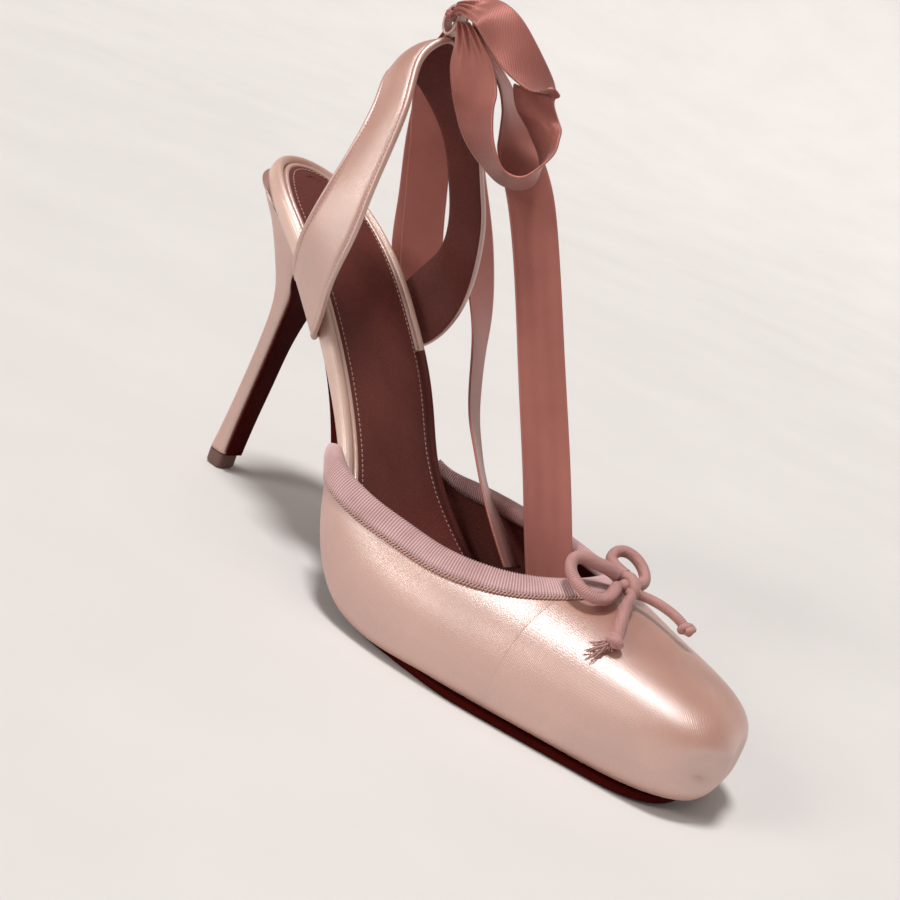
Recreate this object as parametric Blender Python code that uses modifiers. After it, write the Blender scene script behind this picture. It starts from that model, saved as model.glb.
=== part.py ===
"""High-heeled slingback shoe with a ballet vamp, for the right foot.

Frame: metres, +Z up.  The origin is the middle of the heel tip on the floor, +X runs to the toe
and +Y to the wearer's left, so the outer side of this right shoe is at -Y.  The tables hold
millimetres, one row for each section, and MM turns them into metres where a mesh is made.
"""
import math

import bmesh
import bpy
import numpy as np

MM = 0.001
NAME = "high_heel"

# Driving dimensions, mm
GAP = 0.3                 # clearance between two pieces that lie on each other
VAMP_WALL = 1.8           # satin, backing and lining of the vamp
STRAP_WALL = 2.0          # folded satin band with its lining
RIBBON_WALL = 0.9
CORD_RADIUS = 1.9         # cord of the throat bow
TIP_HEIGHT = 5.0          # heel tip
SOLE_TOE = 198.0          # front end of the outsole
VAMP_TOE = 206.5          # front of the toe
TOE_START = 176.0         # where the sides turn into the square toe
TOE_SQUARENESS = 3.4      # exponent of the toe's outline
THROAT = 149.0            # front of the opening
VAMP_BACK = 66.0          # rear tips of the vamp
SOLE_THICK = 2.4          # outsole under the forefoot
SEAT_BACK = -15.5         # rear end of the insole
SEAT_LENGTH = 22.5        # length of the rounded rear end
SEAT_ROUNDNESS = 2.05
SWING = 0.20              # the forefoot turns inward: how far the toe's end leans, per mm of width
SWING_START = 128.0
SWING_LENGTH = 62.0


def table(columns, *rows):
    """Return a dict with one array for each named column."""
    values = np.array(rows, dtype=float)
    return {name: values[:, k] for k, name in enumerate(columns.split())}


# Top of the outsole along the middle of the shoe: the line of the last's bottom
BED = table(
    "x height",
    (-19, 101.6), (-8, 97.4), (3, 92.2), (14, 85.8), (25, 77.8), (36, 67.6), (48, 54.8),
    (60, 41.2), (72, 28.0), (84, 16.2), (96, 8.0), (108, 4.0), (120, 2.8), (132, 2.7),
    (150, 2.7), (168, 2.7), (184, 3.0), (201, 4.4))

# Widest outline of the vamp and the height of its spine; arch is the section's squareness, tuck is
# how far the wall turns in under its widest line and wrap how far it reaches down over the sole
VAMP = table(
    "x outer inner spine arch tuck wrap",
    (56, 23.2, 22.6, 78.0, 2.1, 1.0, 3.4), (64, 28.4, 25.0, 70.0, 2.1, 1.6, 3.6),
    (71, 34.0, 27.0, 64.4, 2.1, 2.4, 3.6), (78, 39.4, 29.0, 59.5, 2.1, 3.0, 3.4),
    (91, 44.4, 31.6, 53.0, 2.1, 3.2, 2.9), (104, 45.6, 33.8, 47.0, 2.1, 3.2, 1.7),
    (118, 45.0, 35.4, 43.6, 2.1, 3.2, 0.5), (132, 42.8, 36.2, 41.0, 2.1, 3.2, -0.3),
    (146, 39.2, 35.6, 39.0, 2.1, 3.2, -0.3), (160, 34.6, 32.4, 36.8, 2.2, 3.2, -0.3),
    (174, 30.2, 27.8, 34.2, 2.4, 3.2, -0.3), (188, 26.0, 23.8, 31.4, 2.8, 3.2, -0.3),
    (207, 20.4, 19.0, 27.2, 3.6, 3.2, -0.3))

# Height of the topline above the top of the outsole, on the outer and the inner side
TOPLINE = table(
    "x outer inner",
    (66, 3.7, -1.2), (68, 6.2, 0.2), (73, 11.8, 4.6), (80, 18.2, 12.0), (88, 23.6, 19.6),
    (96, 27.2, 25.4), (106, 29.6, 30.0), (118, 30.3, 33.0), (130, 31.1, 33.6),
    (139, 32.6, 33.8), (145, 34.4, 34.6), (149, 35.8, 35.8))

# Rim of the insole: half widths to the outer and the inner side, and its thickness
INSOLE = table(
    "x outer inner thick",
    (5, 21.2, 22.0, 5.6), (14, 22.6, 22.8, 5.8), (25, 22.8, 23.4, 5.8), (36, 22.2, 23.8, 5.6),
    (48, 21.8, 24.0, 5.2), (58, 22.4, 22.4, 4.6), (68, 25.4, 20.4, 4.0), (80, 33.2, 22.8, 3.6),
    (91, 37.8, 25.6, 3.4), (104, 39.2, 27.6, 3.4), (118, 38.8, 29.2, 3.4), (132, 36.2, 30.2, 3.4),
    (146, 32.8, 29.6, 3.4), (160, 28.4, 26.4, 3.4), (174, 24.0, 22.0, 3.4), (200, 16.0, 14.8, 3.4))

# Outsole: half widths and thickness behind the vamp, and down the front of the heel
WAIST = table(
    "x outer inner thick",
    (24, 17.0, 18.2, 1.4), (30, 17.8, 19.2, 2.0), (36, 18.2, 19.8, 2.2), (48, 19.2, 20.4, 2.2),
    (60, 22.4, 20.4, 2.2), (66, 25.3, 20.5, 2.2), (72, 28.6, 21.6, 2.3),
    (84, 35.4, 25.6, SOLE_THICK))
SOLE_INSET = 5.6          # sole's edge inside the vamp's widest line where the vamp wraps it
TOE_INSET = 2.2           # the same ahead of that
WRAP_END = (116.0, 142.0) # where one passes into the other

# Sections of the heel, from the tip to the seat
HEEL = table(
    "breast_x breast_z back_x back_z half",
    (4.2, 5.3, -3.9, 5.3, 4.0), (5.0, 18, -1.9, 18, 4.1), (6.5, 34, -0.1, 34, 4.3),
    (7.7, 47, 1.1, 47.5, 4.6), (9.1, 57, 1.7, 58, 5.6), (10.6, 64, 0.9, 66, 7.2),
    (12.2, 70.2, -1.5, 74, 9.8), (14.7, 75.8, -4.9, 82.5, 12.8), (18.9, 78.6, -9.0, 91.0, 16.0),
    (23.2, 78.4, -13.2, 99.6, 19.4))

# Edges of one arm of the slingback, from under the insole's rim to the top; bulge is how far its
# middle stands out between them
STRAP = table(
    "back_x back_y back_z front_x front_y front_z bulge",
    (25.4, 22.8, 76.4, 40.2, 22.0, 62.2, 0), (26.0, 25.8, 79.6, 42.2, 25.4, 64.0, 0),
    (27.0, 28.4, 84.0, 45.0, 28.6, 69.0, 0), (29.8, 32.2, 92.6, 47.6, 32.4, 82.0, 0.2),
    (30.8, 31.8, 101.0, 48.0, 30.6, 96.0, 0.4), (30.3, 28.6, 109.4, 46.4, 28.0, 108.4, 0.6),
    (28.9, 24.0, 118.4, 43.8, 24.2, 118.8, 0.8), (26.8, 19.2, 127.0, 41.0, 20.0, 129.4, 1.0),
    (24.0, 15.0, 133.0, 38.0, 16.6, 137.4, 1.2), (20.8, 11.2, 137.4, 33.8, 12.8, 144.6, 1.5),
    (18.4, 7.6, 140.6, 30.8, 9.0, 151.0, 2.0), (17.2, 3.8, 142.6, 30.4, 4.4, 155.6, 2.6),
    (16.8, 0.0, 143.2, 30.6, 0.0, 157.4, 2.8))
STRAP_LIFT = 22.0         # height over the insole's rim up to which the arms follow its outline

KEEPER = (29.0, 0.0, 163.2)   # middle of the keeper's opening
KEEPER_OPENING = (2.0, 3.8)   # its half length and half height
KEEPER_WALL = 0.9
KEEPER_HALF = 1.9             # half of its width


def spline(xs, ys, x):
    """Natural cubic spline through the points (xs, ys), read at x."""
    count = len(xs)
    step = np.diff(xs)
    slope = np.diff(ys) / step
    matrix = np.eye(count)
    right = np.zeros(count)
    for k in range(1, count - 1):
        matrix[k, k - 1:k + 2] = step[k - 1], 2 * (step[k - 1] + step[k]), step[k]
        right[k] = 6 * (slope[k] - slope[k - 1])
    bend = np.linalg.solve(matrix, right)
    k = np.clip(np.searchsorted(xs, x) - 1, 0, count - 2)
    after = np.asarray(x) - xs[k]
    first = slope[k] - step[k] * (2 * bend[k] + bend[k + 1]) / 6
    return ys[k] + after * (first + after * (bend[k] / 2 + after * (bend[k + 1] - bend[k])
                                             / (6 * step[k])))


def read(rows, column, x):
    """One column of a table, read at x."""
    return spline(rows["x"], rows[column], x)


def unit(vector):
    """A vector, or each vector of an array, at length one."""
    vector = np.asarray(vector, dtype=float)
    return vector / np.linalg.norm(vector, axis=-1, keepdims=True)


def swing(x, y):
    """Station x moved by the inward turn of the forefoot, at y across the shoe."""
    share = np.clip((x - SWING_START) / SWING_LENGTH, 0, 1)
    return x - SWING * y * share * share * (3 - 2 * share)


def bed_point(x, y, height):
    """The point that lies height above the top of the outsole, square to its slope."""
    slope = (read(BED, "height", x + 0.5) - read(BED, "height", x - 0.5))
    tilt = math.atan(slope)
    return np.array([swing(x, y) - height * math.sin(tilt), y,
                     read(BED, "height", x) + height * math.cos(tilt)])


def resample(points, count):
    """Evenly spaced points on a smooth curve through the given ones."""
    points = np.array(points, dtype=float)
    knots = np.concatenate([[0], np.cumsum(np.linalg.norm(np.diff(points, axis=0), axis=1))])
    dense = np.linspace(0, knots[-1], 20 * count)
    curve = np.column_stack([spline(knots, points[:, k], dense) for k in range(points.shape[1])])
    run = np.concatenate([[0], np.cumsum(np.linalg.norm(np.diff(curve, axis=0), axis=1))])
    even = np.linspace(0, run[-1], count)
    return np.column_stack([np.interp(even, run, curve[:, k]) for k in range(curve.shape[1])])


def material(name, colour, roughness, metallic=0.0):
    """A Principled material."""
    made = bpy.data.materials.new(name)
    made.use_nodes = True
    shader = made.node_tree.nodes["Principled BSDF"]
    shader.inputs["Base Color"].default_value = (*colour, 1)
    shader.inputs["Roughness"].default_value = roughness
    shader.inputs["Metallic"].default_value = metallic
    return made


def mesh_object(name, vertices, faces, finish):
    """A smooth-shaded mesh object in the shoe's collection, from points in millimetres."""
    mesh = bpy.data.meshes.new(name)
    mesh.from_pydata([tuple(np.asarray(v) * MM) for v in vertices], [], faces)
    work = bmesh.new()
    work.from_mesh(mesh)
    bmesh.ops.remove_doubles(work, verts=work.verts, dist=0.00001)
    bmesh.ops.recalc_face_normals(work, faces=work.faces)
    work.to_mesh(mesh)
    work.free()
    mesh.materials.append(finish)
    mesh.shade_smooth()
    made = bpy.data.objects.new(name, mesh)
    PARTS.objects.link(made)
    return made


def grid_faces(rows, columns, closed=False):
    """Quads of a grid of points, its columns joined into a ring where closed."""
    last = columns if closed else columns - 1
    return [(r * columns + c, r * columns + (c + 1) % columns,
             (r + 1) * columns + (c + 1) % columns, (r + 1) * columns + c)
            for r in range(rows - 1) for c in range(last)]


def loft(name, rings, finish):
    """A closed solid through rings of points, with a flat face at each end."""
    rings = np.array(rings)
    count, sides = rings.shape[:2]
    faces = grid_faces(count, sides, closed=True)
    faces.append(tuple(range(sides))[::-1])
    faces.append(tuple((count - 1) * sides + k for k in range(sides)))
    return mesh_object(name, rings.reshape(-1, 3), faces, finish)


def band(name, back, front, wall, finish, across=3, bulge=0.0):
    """A band between two edge lines, its middle bulged out, thickened evenly."""
    back, front = np.array(back), np.array(front)
    share = np.linspace(0, 1, across)[None, :, None]
    points = back[:, None, :] * (1 - share) + front[:, None, :] * share
    out = unit(np.cross(front - back, np.gradient((back + front) / 2, axis=0)))[:, None, :]
    points = points + out * np.reshape(bulge, (-1, 1, 1)) * np.sin(math.pi * share)
    made = mesh_object(name, points.reshape(-1, 3), grid_faces(len(back), across), finish)
    thicken(made, wall, 0.0)
    return made


def thicken(made, wall, offset):
    """Give an open surface a real wall."""
    shell = made.modifiers.new("Wall", "SOLIDIFY")
    shell.thickness = wall * MM
    shell.offset = offset
    shell.use_even_offset = True
    shell.use_quality_normals = True


# ---------------------------------------------------------------- outlines in plan

def toe_close(x, start, end):
    """Share of the half width that is left between start and the toe's end."""
    share = np.clip((x - start) / (end - start), 0, 1)
    return (1 - share ** TOE_SQUARENESS) ** (1 / TOE_SQUARENESS)


def toe_stations(start, end, count, last=90.0):
    """Stations along the toe that lie evenly round its corners."""
    turn = np.radians(np.linspace(0, last, count))
    return start + (end - start) * np.sin(turn) ** (2 / TOE_SQUARENESS)


def seat_close(x):
    """Share of the half width in the rounded rear end of the insole."""
    share = np.clip((SEAT_BACK + SEAT_LENGTH - x) / SEAT_LENGTH, 0, 1)
    return (1 - share ** SEAT_ROUNDNESS) ** (1 / SEAT_ROUNDNESS)


def insole_outline(inset, front, count=30, round_count=8, toe_count=9):
    """Closed outline of the insole, set in by the inset: outer side first, then the inner."""
    turn = np.radians(np.linspace(0, 90, round_count))
    seat = SEAT_BACK + SEAT_LENGTH * (1 - np.cos(turn) ** (2 / SEAT_ROUNDNESS))
    seat = np.sort(seat)
    toe = toe_stations(TOE_START, front, toe_count)
    middle = np.linspace(SEAT_BACK + SEAT_LENGTH, TOE_START, count)[1:-1]
    xs = np.concatenate([seat, middle, toe])
    close = seat_close(xs) * toe_close(xs, TOE_START, front)
    outer = np.column_stack([xs, -read(INSOLE, "outer", xs) * close])
    inner = np.column_stack([xs, read(INSOLE, "inner", xs) * close])
    loop = np.concatenate([outer, inner[-2:0:-1]])
    ahead = np.roll(loop, -1, axis=0) - np.roll(loop, 1, axis=0)
    normal = unit(np.column_stack([-ahead[:, 1], ahead[:, 0]]))
    return loop + normal * inset, len(xs)


def plate(name, profile, front, finish, across=4, **counts):
    """A padded plate over the bed: profile rows give inset and height from the bottom up."""
    rings = []
    for inset, share, lift in profile:
        loop, stations = insole_outline(inset, front, **counts)
        rings.append([bed_point(x, y, share * read(INSOLE, "thick", x) + lift) for x, y in loop])
    rings = np.array(rings)
    count, sides = rings.shape[:2]
    vertices = list(rings.reshape(-1, 3))
    faces = grid_faces(count, sides, closed=True)
    for ring in (0, count - 1):
        base = ring * sides
        rows = [[base]] + [None] * (stations - 2) + [[base + stations - 1]]
        for k in range(1, stations - 1):
            left, right = base + k, base + sides - k
            row = [left]
            for step in range(1, across):
                share = step / across
                row.append(len(vertices))
                vertices.append(vertices[left] * (1 - share) + vertices[right] * share)
            rows[k] = row + [right]
        for k in range(1, stations - 2):
            for step in range(across):
                faces.append((rows[k][step], rows[k][step + 1],
                              rows[k + 1][step + 1], rows[k + 1][step]))
        for step in range(across):
            faces.append((rows[0][0], rows[1][step + 1], rows[1][step]))
            faces.append((rows[-1][0], rows[-2][step], rows[-2][step + 1]))
    return mesh_object(name, vertices, faces, finish)


# ---------------------------------------------------------------- the vamp's own function

WIDEST_RISE = 9.5         # height of the widest line above the sole
TUCK_ANGLE = 62.0         # degrees of that turn
FAN_START = 150.0         # where the rays begin to fan round the toe
FAN_END = 188.0           # spine point of the front ray


def spine_x(x):
    """Place on the spine that the ray to the outline's station x starts from."""
    share = np.clip((x - FAN_START) / (VAMP_TOE - FAN_START), 0, 1)
    reach = (VAMP_TOE - FAN_START) / (FAN_END - FAN_START)
    fanned = FAN_START + (FAN_END - FAN_START) * (reach * share - (reach - 1) * share ** 3)
    return np.where(x > FAN_START, fanned, x)


def vamp_outline(x, side):
    """Point of the widest outline at station x; side is -1 outside and 1 inside."""
    column = "outer" if side < 0 else "inner"
    return np.array([x, side * read(VAMP, column, x) * toe_close(x, TOE_START, VAMP_TOE)])


def vamp_normal(x, side):
    """Unit vector in plan that points out of the vamp at station x."""
    if x >= VAMP_TOE - 0.001:
        return np.array([1.0, 0.0])
    step = min(0.25, (VAMP_TOE - x) / 2)
    along = vamp_outline(x + step, side) - vamp_outline(x - step, side)
    normal = np.array([along[1], -along[0]]) * -side
    return unit(normal)


def vamp_point(x, side, share):
    """Point of the vamp's outer face: share 0 at the spine, 1 at the widest line, 2 at the sole."""
    edge = vamp_outline(x, side)
    centre = np.array([float(spine_x(x)), 0.0])
    bed = read(BED, "height", x)
    floor = bed - max(read(VAMP, "wrap", x), -GAP)
    widest = bed + GAP + WIDEST_RISE
    if share <= 1:
        turn = math.radians(90 * share)
        arch = read(VAMP, "arch", x)
        out = math.sin(turn) ** (2 / arch)
        up = math.cos(turn) ** (2 / arch)
        plan = centre + (edge - centre) * out
        spine = read(VAMP, "spine", plan[0])
        return np.array([swing(*plan), plan[1], widest + (spine - widest) * up])
    turn = math.radians(TUCK_ANGLE * (share - 1))
    drop = math.sin(turn) / math.sin(math.radians(TUCK_ANGLE))
    tuck = read(VAMP, "tuck", x) * (1 - math.cos(turn)) / (1 - math.cos(math.radians(TUCK_ANGLE)))
    plan = edge - vamp_normal(x, side) * tuck
    return np.array([swing(*plan), plan[1], widest - (widest - floor) * drop])


def topline_share(x, side):
    """Share on the ray at x where the opening's edge lies, 0 ahead of the throat."""
    if x >= THROAT:
        return 0.0
    column = "outer" if side < 0 else "inner"
    highest = read(VAMP, "spine", x) - 0.06 * (THROAT - x)
    height = min(read(BED, "height", x) + read(TOPLINE, column, x), highest)
    low, high = 0.0, 2.0
    for _ in range(40):
        middle = (low + high) / 2
        if vamp_point(x, side, middle)[2] > height:
            low = middle
        else:
            high = middle
    return high


def vamp_stations():
    """Stations of the rays, close together at the throat and round the toe."""
    side = VAMP_BACK + (THROAT - 16 - VAMP_BACK) * np.linspace(0, 1, 11) ** 1.3
    throat = THROAT - 16 * np.linspace(1, 0, 10)[1:] ** 1.9
    front = np.linspace(THROAT, TOE_START, 6)[1:-1]
    return np.concatenate([side, throat, front, toe_stations(TOE_START, VAMP_TOE, 11)])


def make_vamp(finish):
    """Hollow upper: one ray for each station, round the toe from side to side."""
    steps = 9
    columns = [(x, -1) for x in vamp_stations()] + [(x, 1) for x in vamp_stations()[-2::-1]]
    rows = []
    for x, side in columns:
        top = topline_share(x, side)
        shares = top + (2 - top) * np.linspace(0, 1, steps + 1)
        rows.append([vamp_point(x, side, share) for share in shares])
    made = mesh_object("vamp", np.array(rows).reshape(-1, 3), grid_faces(len(rows), steps + 1),
                       finish)
    close_spine(made)
    thicken(made, VAMP_WALL, -1.0)
    return made


def close_spine(made):
    """Weld the outer and inner halves where their rays meet on the spine."""
    work = bmesh.new()
    work.from_mesh(made.data)
    bmesh.ops.remove_doubles(work, verts=work.verts, dist=0.0002)
    bmesh.ops.recalc_face_normals(work, faces=work.faces)
    work.to_mesh(made.data)
    work.free()


# ---------------------------------------------------------------- sole, heel, insole

def sole_half(x, side):
    """Half width of the outsole at station x."""
    column = "outer" if side < 0 else "inner"
    if x < WAIST["x"][-1]:
        return read(WAIST, column, x)
    share = np.clip((x - WRAP_END[0]) / (WRAP_END[1] - WRAP_END[0]), 0, 1)
    inset = SOLE_INSET + (TOE_INSET - SOLE_INSET) * share * share * (3 - 2 * share)
    return (read(VAMP, column, x) - inset) * toe_close(x, TOE_START, SOLE_TOE)


BREAST_TURN = ((24.8, 76.6), (19.8, 78.2), (15.9, 75.8), (13.4, 70.2))
BREAST_HALF = ((24.6, 16.6), (19.8, 15.0), (15.9, 13.4), (13.4, 10.8))
"""Glued face of the outsole where it turns from the waist down the heel: x, z; and x, half width."""


def make_outsole(finish):
    """Leather sole as one skin: toe, ball, waist, then down the front of the heel."""
    toe = toe_stations(TOE_START, SOLE_TOE, 9, last=86)[::-1]
    middle = np.linspace(TOE_START, 30, 22)[1:]
    sections = []
    for x in np.concatenate([toe, middle]):
        thick = read(WAIST, "thick", x) if x < WAIST["x"][-1] else SOLE_THICK
        point = bed_point(x, 0, -GAP)
        sections.append((point[0], point[2], sole_half(x, -1), sole_half(x, 1), thick))
    for (x, z), (_, half) in zip(BREAST_TURN, BREAST_HALF):
        sections.append((x, z, half + 0.8, half, 1.2))
    for k in range(5, -1, -1):
        half = HEEL["half"][k] - 0.4
        sections.append((HEEL["breast_x"][k] + 0.5, max(HEEL["breast_z"][k], 5.6), half, half, 1.0))
    path = np.array(sections)
    ahead = unit(np.gradient(path[:, :2], axis=0))
    below = np.column_stack([-ahead[:, 1], ahead[:, 0]])
    rings = []
    for (x, z, outer, inner, thick), (down_x, down_z) in zip(path, below):
        ring = []
        bevel = 0.25 * thick
        for y, depth in ((-outer, bevel), (-outer + bevel, 0), (inner - bevel, 0), (inner, bevel),
                         (inner, thick - bevel), (inner - bevel, thick), (0, thick),
                         (-outer + bevel, thick), (-outer, thick - bevel)):
            ring.append((swing(x, y) + down_x * depth, y, max(z + down_z * depth, 0.0)))
        rings.append(ring)
    return loft("outsole", rings, finish)


def heel_ring(breast, back, half, top=False, sides=24):
    """D-shaped section of the heel between its breast and its back."""
    (breast_x, breast_z), (back_x, back_z) = breast, back
    middle = back_x + 0.5 * (breast_x - back_x)
    ring = []
    for k in range(sides):
        turn = 2 * math.pi * k / sides
        along, across = math.cos(turn), math.sin(turn)
        squareness = 5.0 if along > 0 else 2.3
        reach = (breast_x if along > 0 else back_x) - middle
        x = middle + reach * abs(along) ** (2 / squareness)
        y = math.copysign(half * abs(across) ** (2 / squareness), across)
        z = back_z + (breast_z - back_z) * (x - back_x) / (breast_x - back_x)
        if top:
            z = read(BED, "height", x) - 1.2 * GAP
        ring.append((x, y, z))
    return ring


def make_heel(finish):
    """Slim covered heel, from the tip up to the sloping seat."""
    knots = np.arange(len(HEEL["half"]), dtype=float)
    rings = []
    for k in np.linspace(0, knots[-1], 16):
        row = {name: spline(knots, column, k) for name, column in HEEL.items()}
        rings.append(heel_ring((row["breast_x"], row["breast_z"]), (row["back_x"], row["back_z"]),
                               row["half"], top=k == knots[-1]))
    return loft("heel", rings, finish)


def make_heel_tip(finish):
    """Wearing block under the heel, with a small bevel at the floor."""
    breast, back = HEEL["breast_x"][0], HEEL["back_x"][0]
    half = HEEL["half"][0]
    rings = [heel_ring((breast - inset, z), (back + inset, z), half - inset)
             for z, inset in ((0, 0.7), (0.5, 0.3), (TIP_HEIGHT - 0.1, 0.0))]
    return loft("heel_tip", rings, finish)


def make_insole(finish):
    """Padded footbed: side of the rim, rolled top, groove, then the flat bed of the sock."""
    profile = ((3.0, 0.0, 0.0), (0.5, 0.12, 0.0), (0.0, 0.45, 0.0), (0.4, 0.8, 0.0),
               (1.5, 1.0, 0.0), (2.7, 0.9, 0.0), (3.4, 0.62, 0.0), (6.0, 0.60, 0.0))
    return plate("insole", profile, 199.0, finish)


def make_sock(finish):
    """Leather sock that lies in the bed of the insole."""
    profile = ((4.4, 0.60, GAP), (4.0, 0.60, 0.7), (4.6, 0.60, 1.3), (6.2, 0.60, 1.5))
    return plate("sock_lining", profile, 198.0, finish, count=22, round_count=6, toe_count=7)


# ---------------------------------------------------------------- binding and strap

BINDING_DEPTH = 5.8       # how far the tape reaches down from the edge
BINDING_WALL = 0.8
TIP_REACH = (3.8, 2.0)    # how far it reaches down at its outer and its inner rear tip


def wall_slopes(x, side, share):
    """Steps over the wall's outer face for a millimetre along it and for its share."""
    share = max(share, 0.01)
    along = vamp_point(x + 0.25, side, share) - vamp_point(x - 0.25, side, share)
    down = vamp_point(x, side, share + 0.01) - vamp_point(x, side, share - 0.01)
    return along / 0.5, down / 0.02


def wall_frame(x, side, share):
    """Point of the wall's outer face with its outward normal."""
    along, down = wall_slopes(x, side, share)
    return vamp_point(x, side, share), unit(np.cross(along, down)) * side


def nearest_on_wall(target, x, side, share):
    """Frame of the wall's point nearest to the target, found from a place close to it."""
    for _ in range(8):
        along, down = wall_slopes(x, side, share)
        miss = target - vamp_point(x, side, share)
        move = np.linalg.lstsq(np.column_stack([along, down]), miss, rcond=None)[0]
        x += float(np.clip(move[0], -3, 3))
        share = float(np.clip(share + move[1], 0, 1.98))
    return wall_frame(x, side, share)


def binding_ring(frames, lift):
    """Section of the folded tape: frames lie at the edge, halfway down and at its lower line.

    The fold's inside leg reaches only halfway down.
    """
    outer, inner = 1.5 * GAP, -VAMP_WALL - 3 * GAP
    over = 3 * GAP
    skin = BINDING_WALL
    edge, normal = frames[0]
    middle, out_middle = frames[1]
    ring = [place + out * outer for place, out in frames[::-1]]
    ring[-1] = ring[-1] + lift * GAP
    ring.append(edge + normal * inner + lift * over)
    ring += [middle + out_middle * inner, middle + out_middle * (inner - skin)]
    ring += [edge + normal * off + lift * rise
             for off, rise in ((inner - skin, over), (inner, over + skin), (outer, GAP + skin),
                               (outer + skin, GAP))]
    return ring + [place + out * (outer + skin) for place, out in frames[1:]]


def make_binding(finish):
    """Ribbed tape folded over the edge of the opening."""
    stations = [x for x in vamp_stations() if x < THROAT] + [THROAT - 0.01]
    columns = [(x, -1) for x in stations] + [(x, 1) for x in stations[-2::-1]]
    shares = [topline_share(x, side) for x, side in columns]
    edges = np.array([vamp_point(x, side, top) for (x, side), top in zip(columns, shares)])
    tangents = unit(np.gradient(edges, axis=0))
    rings = []
    for k, ((x, side), top) in enumerate(zip(columns, shares)):
        reach = min(BINDING_DEPTH, TIP_REACH[0] + k, TIP_REACH[1] + len(columns) - 1 - k)
        edge, normal = wall_frame(x, side, top)
        down = unit(np.cross(tangents[k], normal))
        frames = [(edge, normal)]
        for depth in (reach / 2, reach):
            frames.append(nearest_on_wall(edge + down * depth, x, side, top))
        rings.append(binding_ring(frames, -down))
    return loft("topline_binding", rings, finish)


def strap_edge(end, side):
    """One edge of one arm; low down it follows the rim of the insole on that side."""
    places = np.column_stack([STRAP[end + "_x"], STRAP[end + "_y"], STRAP[end + "_z"]])
    if side > 0:
        wider = read(INSOLE, "inner", places[:, 0]) - read(INSOLE, "outer", places[:, 0])
        above = (places[:, 2] - places[0, 2]) / STRAP_LIFT
        places[:, 1] += wider * np.clip(1 - above, 0, 1)
    places[:, 1] *= side
    return places


def strap_edges(count):
    """Edge lines and bulge of the whole slingback, from the outer side over the top to the inner."""
    edges = [np.concatenate([strap_edge(end, -1), strap_edge(end, 1)[-2::-1]])
             for end in ("back", "front")]
    bulge = np.concatenate([STRAP["bulge"], STRAP["bulge"][-2::-1]])
    both = resample(np.column_stack(edges + [bulge]), count)
    return both[:, :3], both[:, 3:6], both[:, 6]


def make_strap(finish):
    """Slingback: two arms that close in one band behind the ankle."""
    back, front, bulge = strap_edges(45)
    return band("slingback_strap", back, front, STRAP_WALL, finish, across=5, bulge=bulge)


def make_keeper(finish):
    """Small upright loop on top of the slingback."""
    rings = []
    for k in range(20):
        turn = 2 * math.pi * k / 20
        ring = []
        for y, grow in ((-KEEPER_HALF, 0), (KEEPER_HALF, 0), (KEEPER_HALF, KEEPER_WALL),
                        (-KEEPER_HALF, KEEPER_WALL)):
            ring.append((KEEPER[0] + (KEEPER_OPENING[0] + grow) * math.cos(turn), y,
                         KEEPER[2] + (KEEPER_OPENING[1] + grow) * math.sin(turn)))
        rings.append(ring)
    rings = np.array(rings)
    faces = grid_faces(20, 4, closed=True)
    faces += [(19 * 4 + c, 19 * 4 + (c + 1) % 4, (c + 1) % 4, c) for c in range(4)]
    return mesh_object("ribbon_keeper", rings.reshape(-1, 3), faces, finish)


# ---------------------------------------------------------------- the ankle ribbon

HANG_TILT = 26.6          # degrees that the hanging ribbon leans forward
HANG_TURN = 37.0          # degrees that its face turns from the shoe's side
KNOT = (32.6, -3.4, 166.6)
KNOT_RADIUS = 1.3         # gathered ribbon in the keeper
KNOT_ROUTE = ((0, 4.8, 1.0), (0, 2.2, 1.0), (0, -2.2, 1.0), (1.6, -5.0, 1.5))

# Folds of each run of ribbon: sideways, down and away from the knot, then the way that the
# ribbon's width points (degrees in the hanging plane) and how far it turns away from it
FRONT_LOOP = table(
    "side drop away point turn width",
    (-0.4, -0.2, 0, -70, 16, 4), (2.8, 0.2, -3, -64, 40, 8), (5.6, 1, -4, -62, 42, 13),
    (9.5, 3.4, -5, -54, 32, 15), (13.4, 8.2, -5, -48, 22, 15), (16.8, 13.8, -5, -40, 26, 15),
    (20.6, 19.2, -4, -31, 38, 15), (24.2, 23, -3, -28, 55, 15), (26.4, 25, -2, -20, 74, 15),
    (25.4, 25.4, -1.4, 0, 104, 15), (23.4, 26, -0.6, 18, 136, 15), (22.2, 27.6, 0, 24, 158, 15),
    (22.8, 30, 0, 25, 160, 15), (24, 33.4, 0, 26, 148, 15), (25.1, 37.9, 0, 28, 124, 15),
    (25.6, 42.6, 0, 30, 106, 15), (23.8, 47.2, 0, 40, 90, 15), (18.4, 51, 0, 80, 86, 15),
    (13, 49.6, 0, 126, 85, 15),
    (9.4, 45.6, -1, 160, 78, 15), (6.9, 41, -1.6, 172, 68, 15), (5, 35, -2, 178, 54, 15),
    (4.3, 28.6, -2.6, 184, 40, 15), (4, 22.6, -3, 187, 28, 15), (3.4, 17, -3, 187, 26, 14),
    (2.6, 11.6, -3, 188, 30, 10), (1.8, 7, -2, 190, 34, 7), (1, 3.6, -1, 192, 36, 4))
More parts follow.
